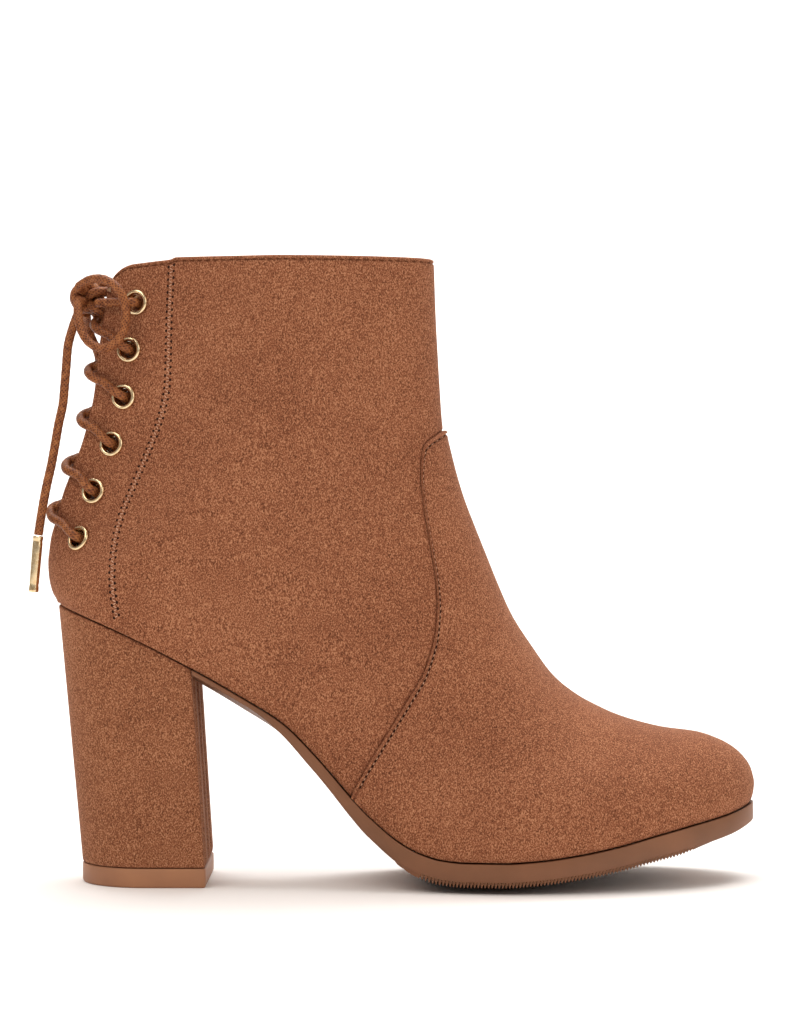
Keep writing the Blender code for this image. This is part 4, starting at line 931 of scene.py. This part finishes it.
upper = {
    "suedeWall": 0.0012, "liningWall": 0.00055, "overlay": 0.0011, "overlayEdge": 0.0006, "edgeShare": 0.12,
    "ridge": 0.0003, "ridgeRow": 0.0007, "stitchRow": 0.00140, "stitchGroove": 0.00052, "stitchWidth": 0.00036,
    "pressed": 0.00042, "pressedRow": 0.00015, "grooveWidth": 0.0004, "collarWidth": 0.00034,
    "collarRound": 0.0009, "collarGroove": 0.00135, "collarCorner": 0.0088, "collarDip": 0.0016, "collarDipRun": 0.0250,
    "panelStep": 0.0007, "seamX": 0.0420, "featherTuck": 0.0007, "featherTuckRun": 0.0030,
    "lap": 0.006, "lapRun": 0.003, "lapWall": 0.00025, "calmRun": 0.012,
    "toeShare": 0.219, "seatShare": 0.138,
}

# zig-zag seam of the back panel in the side view, collar down to the feather line
seamRows = (
    (0.0423, 0.205), (0.0414, 0.183), (0.0412, 0.172), (0.0406, 0.162), (0.0385, 0.153), (0.036, 0.146),
    (0.0327, 0.138), (0.0294, 0.13), (0.0265, 0.123), (0.0246, 0.116), (0.0238, 0.108), (0.0238, 0.101),
    (0.0246, 0.093), (0.0256, 0.0868),
)


# shallow waves: slight sags at the ankle and instep, and upright ripples below the collar
# place, half sizes, lean in radians and depth, which is below nought for a hollow
creaseRows = (
    (0.088, 0.118, 0.016, 0.006, 0.35, -0.0006), (0.06, 0.112, 0.018, 0.005, -0.15, -0.0004),
    (0.112, 0.112, 0.012, 0.005, 0.75, -0.0005), (0.125, 0.095, 0.012, 0.005, 0.9, 0.0003),
    (0.095, 0.165, 0.005, 0.026, 0.05, -0.0005), (0.07, 0.175, 0.006, 0.03, -0.05, 0.0004),
    (0.15, 0.06, 0.014, 0.006, 0.8, -0.0004), (0.176, 0.046, 0.012, 0.006, 0.7, -0.0003),
)


def softCreases(x, z):
    waves = np.zeros_like(x)
    for centreX, centreZ, wideX, wideZ, lean, depth in creaseRows:
        awayX, awayZ = x - centreX, z - centreZ
        along = awayX * math.cos(lean) - awayZ * math.sin(lean)
        over = awayX * math.sin(lean) + awayZ * math.cos(lean)
        waves += depth * np.exp(-(along / wideX) ** 2 - (over / wideZ) ** 2)
    return waves


def toeLine(z):
    # the nose is where the plan ends at that height, found in a few passes
    x = np.full_like(z, boot["toeTip"] * boot["length"])
    for _ in range(6):
        nose = boot["nose"] * easeStep(np.maximum(z - featherHeight(x), 0) / boot["noseHeight"])
        x = (boot["toeTip"] + nose) * boot["length"]
    return x


def collarDrop(x, z):
    # rounded corner at the slit, a dip behind and a step down to the back panel
    fromBack = x - backEdge(z)
    corner = np.clip(1 - fromBack / upper["collarCorner"], 0, 1)
    drop = upper["collarCorner"] * (1 - np.sqrt(1 - corner ** 2))
    drop = drop + upper["collarDip"] * easeStep(1 - fromBack / upper["collarDipRun"])
    return drop + upper["panelStep"] * easeStep((upper["seamX"] + 0.0006 - x) / 0.0012)


def upperGrid(stations, columns):
    # section lines side by side; points crowd together where the surface turns over the front and towards the slit
    across = np.linspace(-1, 1, columns * 2 + 1)
    base, turn = np.meshgrid(stations, across, indexing="ij")
    side = np.abs(turn)
    openEnd = 1 - np.cos(side * math.pi / 2)
    closedEnd = (1 - np.cos(side * math.pi)) / 2
    closing = easeStep((base - 0.75) / 0.2)
    x, z = sectionLine(base, openEnd + (closedEnd - openEnd) * closing)
    x = np.where(base > 0, x, toeLine(z))
    half, swing = halfWidth(x, z, turn)
    y = swing + np.where(base > 0, np.sign(turn) * half, 0)
    atCollar = np.clip((base - 1.85) / 0.15, 0, 1) ** 2
    grid = np.stack((x, y, z - collarDrop(x, z) * atCollar), axis=-1)
    return grid, base, (side == 1) & (base <= 1 + 1e-6)


def runAlong(grid, axis, fromEnd):
    # length along the grid lines from one end
    steps = np.linalg.norm(np.diff(grid, axis=axis), axis=-1)
    shape = list(grid.shape[:2])
    shape[axis] = 1
    run = np.concatenate((np.zeros(shape), np.cumsum(steps, axis=axis)), axis=axis)
    if fromEnd:
        run = np.take(run, [-1], axis=axis) - run
    return run


def roundedEdge(distance, radius):
    # how far a round edge falls back at a distance from its nose
    near = np.clip(1 - distance / radius, 0, 1)
    return radius * (1 - np.sqrt(1 - near ** 2))


def toSides(grid):
    # distance along a row to the nearer of its two ends
    return np.minimum(runAlong(grid, 1, False), runAlong(grid, 1, True))


eyeletHoles = [eyeletSpot(number, side) for side in (-1, 1) for number in range(eyelets["count"])]


def groove(distance, row, width):
    return np.exp(-((distance - row) / width) ** 2)


def featherTuck(grid):
    # the wall turns in where it meets the sole
    return upper["featherTuck"] * np.clip(1 - toSides(grid) / upper["featherTuckRun"], 0, 1) ** 2


def toeStations(count):
    return upper["toeShare"] * (np.arange(count) / (count - 1)) ** 2


def seatStations(count):
    return 1 - upper["seatShare"] * (np.arange(count - 1, -1, -1) / count) ** 2


def makeVamp():
    # laid over the quarters: a rounded edge, a ridge behind it and the groove that its stitches press
    stations = np.concatenate((
        toeStations(56)[:-1], spans(upper["toeShare"], (0.552, 62), (0.569, 12), (vampEdge, 22)),
    ))
    grid, _, level = upperGrid(stations, 76)
    toEdge = runAlong(grid, 0, True)
    edge = np.clip(toEdge / upper["overlayEdge"], 0, 1)
    rise = upper["overlay"] * (upper["edgeShare"] + (1 - upper["edgeShare"]) * np.sqrt(1 - (1 - edge) ** 2))
    rise = rise + upper["ridge"] * groove(toEdge, upper["ridgeRow"], upper["grooveWidth"])
    rise = rise - upper["stitchGroove"] * groove(toEdge, upper["stitchRow"], upper["stitchWidth"])
    outward = rise - featherTuck(grid) + softCreases(grid[..., 0], grid[..., 2])
    lapped = 1 - easeStep((toEdge - upper["lap"]) / upper["lapRun"])
    inward = -upper["suedeWall"] + (upper["suedeWall"] - upper["lapWall"]) * lapped
    return shellPiece("vamp", grid, outward, inward, level, suede)


def makeQuarters():
    # pressed in beside the vamp's edge, rounded and grooved at the collar and rounded along the slit
    stations = np.concatenate((
        spans(0.548, (vampEdge - 0.002, 6), (vampEdge, 8), (vampEdge + 0.008, 22), (1 - upper["seatShare"], 50))[:-1],
        seatStations(24), spans(1, (slitBase, 12), (1.93, 88), (1.975, 8), (2, 12))[1:],
    ))
    grid, base, level = upperGrid(stations, 96)
    toCollar, toRim, run = runAlong(grid, 0, True), toSides(grid), runAlong(grid, 0, False)
    past = run - run[int(np.argmin(np.abs(stations - vampEdge)))]
    outward = -roundedEdge(toCollar, upper["collarRound"])
    outward = outward - upper["pressed"] * groove(past, upper["pressedRow"], upper["grooveWidth"])
    outward = outward - upper["pressed"] * groove(toCollar, upper["collarGroove"], upper["collarWidth"])
    outward = outward - np.where(base > slitBase, roundedEdge(toRim, upper["collarRound"] * 0.8), 0)
    outward = outward - np.where(base <= 1, featherTuck(grid), 0)
    calm = easeStep(toRim / upper["calmRun"]) * easeStep(toCollar / upper["calmRun"])
    outward = outward + softCreases(grid[..., 0], grid[..., 2]) * calm
    inward = np.full_like(outward, -upper["suedeWall"])
    return shellPiece("quarters", grid, outward, inward, level, suede, eyeletHoles)


def makeLining():
    stations = np.concatenate((
        toeStations(26)[:-1], spans(upper["toeShare"], (1 - upper["seatShare"], 54))[:-1],
        seatStations(14), spans(1, (slitBase, 6), (1.992, 48))[1:],
    ))
    grid, _, level = upperGrid(stations, 56)
    outward = np.full(grid.shape[:2], -upper["suedeWall"] - 0.00005)
    return shellPiece("upperLining", grid, outward, outward - upper["liningWall"], level, lining, eyeletHoles)


dress(makeVamp(), "suede", "upper")
dress(makeQuarters(), "suede", "upper")
dress(makeLining(), "lining", "upper")
print("upper and lining are made")

# pitches and rows in metres, and half sizes of each kind of stitch or hole: along, across, deep
stitching = {
    "seamRow": 0.0009, "seamPitch": 0.0021, "slant": 0.35, "holeRadius": 0.00052, "threadRadius": 0.00021,
    "threadShare": 0.28, "edgePitch": 0.0026, "collarStitch": (0.00085, 0.00020, 0.00018),
    "vampPitch": 0.0019, "vampLift": 0.0003, "vampHole": (0.00046, 0.0003, 0.0002),
    "vampStitch": (0.00042, 0.0002, 0.00018),
}


def evenly(points, pitch):
    # places along a line at an even pitch, with the way it runs
    run = runAt(points)
    at = np.arange(pitch / 2, run[-1] - pitch / 2, pitch)
    places, ways = (
        np.stack([np.interp(at, run, column) for column in values.T], axis=-1)
        for values in (points, np.gradient(points, run, axis=0))
    )
    return places, unit(ways)


def stitchRow(x, z, pitch, side):
    # points at a pitch along a line of the side view, with the surface's normals and the way the row runs
    places = evenly(np.column_stack((x, z)), pitch)[0]
    point, normal = surfaceAt(places[:, 0], places[:, 1], side)
    return point, normal, unit(np.gradient(point, axis=0))


def stitchPiece(name, groups, finish):
    return dress(addPiece(name, *joinMeshes(groups), finish, 70), "suede")


def seamStitches():
    # two rows of needle holes beside the seam, half a pitch apart, with slanting thread between them
    line = cordLine(np.array([(x, 0.0, z) for x, z in seamRows]), 0.0005)[:, [0, 2]]
    places, ways = evenly(line, stitching["seamPitch"])
    across = np.column_stack((-ways[:, 1], ways[:, 0])) * stitching["seamRow"]
    rows = places + across, places - across + ways * stitching["seamPitch"] * stitching["slant"]
    along = np.column_stack((ways[:, 0], np.zeros(len(ways)), ways[:, 1]))
    size, thin = stitching["holeRadius"], stitching["threadRadius"]
    holes, threads = [], []
    for side in (-1, 1):
        spots = []
        for row in rows:
            point, normal = surfaceAt(row[:, 0], row[:, 1], side)
            spots.append(point)
            # dark beads at the holes paint the shade inside them
            holes.append(beadRow(point - normal * size * 0.25, along, normal, (size * 1.15, size, size * 0.45)))
        for start, end in ((spots[0], spots[1]), (spots[1][:-1], spots[0][1:])):
            middle = (start + end) / 2
            point, normal = surfaceAt(middle[:, 0], middle[:, 2], side)
            long = float(np.linalg.norm(end - start, axis=1).mean()) * stitching["threadShare"]
            threads.append(beadRow(point + normal * 0.00004, unit(end - start), normal, (long, thin, thin)))
    stitchPiece("seamNeedleHoleShade", holes, holeShade)
    stitchPiece("seamThread", threads, seamThread)


def vampStitches():
    # one row of needle holes with thread between them, in the groove along the vamp's edge
    along = 1 - np.cos(np.linspace(0.004, 0.985, 400) * math.pi / 2)
    holes, threads = [], []
    for side in (-1, 1):
        onEdge, within = (
            surfaceAt(*sectionLine(np.full_like(along, place), along), side)[0] for place in (vampEdge, vampEdge - 0.01)
        )
        base = vampEdge - 0.01 * upper["stitchRow"] / np.linalg.norm(onEdge - within, axis=1)
        point, normal, way = stitchRow(*sectionLine(base, along), stitching["vampPitch"], side)
        lift = upper["overlay"] - upper["stitchGroove"] + stitching["vampLift"]
        lifted = point + normal * (lift + softCreases(point[:, 0], point[:, 2])[:, None])
        # dark beads at the holes paint the shade inside them
        holes.append(beadRow(lifted, way, normal, stitching["vampHole"]))
        between = (lifted[:-1] + lifted[1:]) / 2 + normal[:-1] * 0.00005
        threads.append(beadRow(between, way[:-1], normal[:-1], stitching["vampStitch"]))
    stitchPiece("vampNeedleHoleShade", holes, holeShade)
    stitchPiece("vampThread", threads, seamThread)


def collarStitches():
    # a row of dark stitches in the groove under the folded collar
    across = np.linspace(0.02, 0.965, 500)
    x, z = sectionLine(np.full_like(across, 2.0), (1 - np.cos(across * math.pi)) / 2)
    low = z - collarDrop(x, z) - upper["collarGroove"]
    groups = []
    for side in (-1, 1):
        point, normal, way = stitchRow(x, low, stitching["edgePitch"], side)
        groups.append(beadRow(point - normal * 0.00016, way, normal, stitching["collarStitch"]))
    stitchPiece("collarStitches", groups, brownThread)


seamStitches()
vampStitches()
collarStitches()
print("stitching is sewn")

gusset = {
    "thickness": 0.0014, "setback": 0.0106, "nose": 0.0020, "run": 0.0330, "play": 0.0007, "foot": 0.0125,
    "topDrop": 0.0050, "flapFrom": 0.007, "flapRun": 0.012, "bend": 1.7,
}


def makeGusset():
    # strip bent into a U behind the slit: a parabola at the nose that eases on to the inside of the wall
    low, high = gusset["foot"], boot["shaftHeight"] - gusset["topDrop"]
    levels = np.linspace(boot["seatHeight"] + low, boot["seatHeight"] + high, 60)
    z, turn = np.meshgrid(levels, np.linspace(-1, 1, 61), indexing="ij")
    ahead = (gusset["run"] - gusset["setback"]) * np.abs(turn) ** gusset["bend"]
    x = backEdge(z) + gusset["setback"] + ahead
    side = np.where(turn < 0, -1, 1)
    along, up = sideSlopes(x, z, side)
    wall = halfWidth(x, z, side)[0] - (eyelets["wall"] + gusset["play"]) * np.sqrt(1 + along ** 2 + up ** 2)
    nose = np.sqrt(2 * gusset["nose"] * ahead)
    flap = easeStep((ahead - gusset["flapFrom"]) / gusset["flapRun"])
    grid = np.stack((x, np.sign(turn) * (nose + (wall - nose) * flap), z), axis=-1)
    run = np.gradient(grid, axis=1)
    across = unit(np.stack((run[..., 1], -run[..., 0], np.zeros(run.shape[:2])), axis=-1))
    rings = np.concatenate((grid, (grid + across * gusset["thickness"])[:, ::-1]), axis=1)
    return loftPiece("backGusset", rings, suede)


dress(makeGusset(), "suede", "back_gusset")

sole = {
    "overhang": 0.0004, "edge": 0.0060, "treadInset": 0.0007, "treadDepth": 0.0019, "belly": 0.0030, "gap": 0.0005,
    "breast": 0.0496, "toothPitch": 0.00113, "toothDepth": 0.0012, "toothStart": 0.1225, "toothEnd": 0.2145,
    "toothRun": 0.003, "edgeRound": 0.0004, "sideBulge": 0.00015, "step": 0.1160, "skive": 0.62, "skiveEnd": 0.088,
    "skiveRun": 0.022,
}

# edge of the outsole: share of the length, share of the edge height, share of the belly, share of the tread depth
soleRows = (
    (0.205, 0.7, 0.1, 0), (0.334, 0.75, 0.15, 0), (0.4, 0.88, 0.2, 0), (0.453, 1.05, 0.4, 0), (0.5, 1.06, 0.8, 0.45),
    (0.54, 0.98, 1, 1), (0.6, 0.97, 1, 1), (0.686, 0.97, 1, 1), (0.796, 1.03, 0.9, 1), (0.88, 1.1, 0.6, 1),
    (0.92, 1.12, 0.45, 0.4), (0.96, 1.08, 0.3, 0), (1, 0.95, 0.1, 0),
)


def solePlan(inset):
    # plan of the feather line moved in along its own normals, one curve for each side
    toe = 0.3 * (np.arange(80) / 80) ** 2
    heel = 1 - 0.14 * (np.arange(59, -1, -1) / 60) ** 2
    share = np.concatenate((toe, np.linspace(0.3, 0.86, 100), heel))
    x = basePlace(share)[0]
    raised = upper["overlay"] * easeStep((vampEdge - share) / 0.02)
    curves = []
    for side in (-1, 1):
        half, swing = halfWidth(x, featherHeight(x), side)
        plan = np.column_stack((x, swing + side * half))
        run = np.gradient(plan, axis=0)
        run[0], run[-1] = (0, side), (0, -side)
        out = unit(np.column_stack((run[:, 1], -run[:, 0])) * side)
        curves.append(plan - out * (inset - raised)[:, None])
    return curves


def sideY(curve, x):
    return np.interp(-x, -curve[:, 0], curve[:, 1])


def makeOutsole():
    # a ring for each x: top, band, tread and the same band on the other side
    edgePlan, treadPlan = solePlan(-sole["overhang"]), solePlan(sole["treadInset"])
    tip, treadTip, back = edgePlan[0][0][0], treadPlan[0][0][0], sole["breast"]
    near = tip - 0.020 * np.linspace(0, 1, 60) ** 2
    x = np.concatenate((near[:-1], spans(near[-1], (sole["toothStart"], 760), (back, 90))))
    innerX = treadTip + (back - treadTip) * (tip - x) / (tip - back)
    along = x / boot["length"]
    top = featherHeight(x) - sole["gap"]
    band = np.maximum(top - curveThrough(soleRows, 1, along) * sole["edge"], 0)
    belly = curveThrough(soleRows, 2, along) * sole["belly"]
    # a small step up where the tread begins
    stepped = 0.35 + 0.65 * easeStep((x - sole["step"]) / 0.0008)
    depth = curveThrough(soleRows, 3, along) * stepped * sole["treadDepth"]
    toothed = easeStep((x - sole["toothStart"]) / sole["toothRun"])
    toothed = toothed * easeStep((sole["toothEnd"] - x) / sole["toothRun"])
    ridge = np.abs(((x / sole["toothPitch"]) % 1) * 2 - 1)  # 0 at a tooth's tip, 1 in the valley
    valley = sole["toothDepth"] * toothed * easeStep((ridge - 0.2) / 0.5)
    tread = np.minimum(band - depth + valley, band)
    # the waist's edge is skived thin, so that the middle keeps its thickness and the side shows little of it
    skived = (top - band) * sole["skive"] * easeStep((sole["skiveEnd"] - x) / sole["skiveRun"])
    band = band + skived
    left, right = sideY(edgePlan[0], x), sideY(edgePlan[1], x)
    middle = (left + right) / 2
    low, high = np.minimum(sideY(treadPlan[0], innerX), middle), np.maximum(sideY(treadPlan[1], innerX), middle)
    treadX = np.minimum(x, innerX)
    rounding = sole["edgeRound"]
    trim = np.minimum(rounding, np.maximum((right - left) / 2, 1e-6) * 0.5)
    # one side's edge from the top down: share of the trim in from it, how far it bulges past it, height
    edgeRows = (
        (1.0, 0, top), (0.3, 0, top - rounding * 0.3), (0, 0, top - rounding),
        (0, sole["sideBulge"], top * 0.45 + band * 0.55),
        (0, 0, band + rounding), (0.3, 0, band + rounding * 0.3), (1.0, 0, band),
    )
    ring = [(x, y, top - 0.0001) for y in (left + trim * 4, middle, right - trim * 4)]
    ring += [(x, right - trim * share + bulge, height) for share, bulge, height in edgeRows]
    for place in (1.0, 0.97, 0.85, 0.66, 0.33, 0.0, -0.33, -0.66, -0.85, -0.97, -1.0):
        y = middle + place * ((high - middle) if place > 0 else (middle - low))
        crown = belly * (1 - easeStep(abs(place) * 0.9 + 0.1 * place * place))
        ring.append((treadX, y, np.maximum(tread - crown + skived * easeStep((abs(place) - 0.4) / 0.6), 0)))
    ring += [(x, left + trim * share - bulge, height) for share, bulge, height in edgeRows[::-1]]
    rings = np.stack([np.stack(np.broadcast_arrays(*column), axis=-1) for column in ring], axis=1)
    return loftPiece("mouldedOutsole", rings, soleRubber, 38)


dress(makeOutsole(), "sole_rubber", "outsole")

insole = {"inset": 0.0035, "lift": 0.0003, "thickness": 0.0020, "crown": 0.0006}


def makeInsole():
    # thin board cut to the inside of the feather line, its cover crowned a little across
    plan = solePlan(insole["inset"])
    tip, back = plan[0][0][0], plan[0][-1][0]
    x = tip + (back - tip) * (1 - np.cos(np.linspace(0.02, 1, 160) * math.pi)) / 2
    left, right = sideY(plan[0], x), sideY(plan[1], x)
    low = (featherHeight(x) + insole["lift"])[:, None]
    across = np.linspace(0, 1, 17)
    y = left[:, None] + (right - left)[:, None] * across
    crown = insole["thickness"] + insole["crown"] * (np.abs(2 * across - 1) ** 3)[None]
    top, bottom = (np.stack(np.broadcast_arrays(x[:, None], y, level), axis=-1) for level in (low + crown, low))
    return loftPiece("coveredInsole", np.concatenate((top, bottom[:, ::-1]), axis=1), lining)


dress(makeInsole(), "lining", "insole")

heelSizes = {
    "breast": 0.0493, "footBack": heelFootBack, "footBreast": 0.0535, "footWidth": 0.0450, "topPiece": 0.0063,
    "clear": 0.0003, "corner": 0.0009, "topCorner": 0.0008, "fold": 0.0008, "foldShare": 0.6, "foldRun": 0.02,
    "hollow": 0.05, "laps": ((-0.0190, -0.0115), (-0.0030, 0.0030), (0.0110, 0.0190)), "lapHeight": 0.0005,
}


def heelPlan(front, back, half, corner, count=64):
    # half circle behind, straight sides, a straight breast and two small round corners
    behind = -math.pi / 2 - math.pi * np.linspace(0, 1, count + 1)
    bend = np.linspace(0, math.pi / 2, 7)
    x = np.concatenate((
        back + half + half * np.cos(behind),
        np.linspace(back + half, front - corner, 12)[1:-1],
        front - corner + corner * np.sin(bend),
        np.full(61, front),
        front - corner + corner * np.sin(bend[::-1]),
        np.linspace(front - corner, back + half, 12)[1:-1],
    ))
    wide = half - corner
    y = np.concatenate((
        half * np.sin(behind),
        np.full(10, half),
        wide + corner * np.cos(bend),
        np.linspace(wide, -wide, 63)[1:-1],
        -wide - corner * np.cos(bend[::-1]),
        np.full(10, -half),
    ))
    return x, y


def makeHeel():
    # the plan at the seat drawn in to the smaller one at the foot, with the cover folded in at both ends
    plan = solePlan(heelSizes["clear"])
    half = float((sideY(plan[1], heelSizes["breast"]) - sideY(plan[0], heelSizes["breast"])) / 2)
    half, corner = min(half, boot["heelWidth"] / 2), heelSizes["corner"]
    footX, footY = heelPlan(heelSizes["footBreast"], heelSizes["footBack"], heelSizes["footWidth"] / 2, corner)
    seatX, seatY = heelPlan(heelSizes["breast"], plan[0][-1][0], half, corner)
    bottom = heelSizes["topPiece"] + heelSizes["clear"]
    tall = featherHeight(seatX) - sole["gap"] - bottom
    share = spans(0, (0.012, 5), (0.988, 46), (1, 5))[:, None]
    edge = np.minimum(share, 1 - share) * tall
    fold = roundedEdge(edge, heelSizes["fold"]) * heelSizes["foldShare"]
    x = footX + (seatX - footX) * share
    y = (footY + (seatY - footY) * share) * (1 - heelSizes["hollow"] * np.sin(math.pi * share))
    fromMiddle = x - (footX.min() + footX.max()) / 2
    x = x - fold * np.sign(fromMiddle) * np.minimum(np.abs(fromMiddle) / heelSizes["foldRun"], 1)
    # on the breast the cover's two ends lap as shallow upright folds
    onBreast = easeStep((footX - heelSizes["footBreast"] + 0.0004) / 0.0003)
    laps = sum(easeStep((y - low) / 0.0006) * easeStep((high - y) / 0.0006) for low, high in heelSizes["laps"])
    x = x + heelSizes["lapHeight"] * laps * onBreast * np.minimum(edge / 0.002, 1)
    y = y - fold * np.sign(y) * np.minimum(np.abs(y) / heelSizes["foldRun"], 1)
    return loftPiece("heelCover", np.stack((x, y, bottom + tall * share), axis=-1), heelLitSuede, 60)


def makeTopPiece():
    # slightly rounded at the floor and at the heel: height and inset of each ring
    tall, clear = heelSizes["topPiece"], heelSizes["clear"]
    levels = (
        (0.0, 0.0006), (0.00015, 0.0003), (0.0004, 0.0001), (0.0008, 0.0), (tall * 0.5, -0.00005),
        (tall - 0.0004, 0.0), (tall - 0.0001, 0.0001), (tall, 0.0003),
    )
    rings = []
    for height, inset in levels:
        front, back = heelSizes["footBreast"] + clear - inset, heelSizes["footBack"] + inset
        x, y = heelPlan(front, back, heelSizes["footWidth"] / 2 - inset, heelSizes["topCorner"])
        rings.append(np.stack((x, y, np.full_like(x, height)), axis=-1))
    return loftPiece("heelTopPiece", rings, topPieceRubber)


dress(makeHeel(), "suede", "heel")
dress(makeTopPiece(), "top_piece_rubber", "heel_top_piece")
print("sole and heel are made")
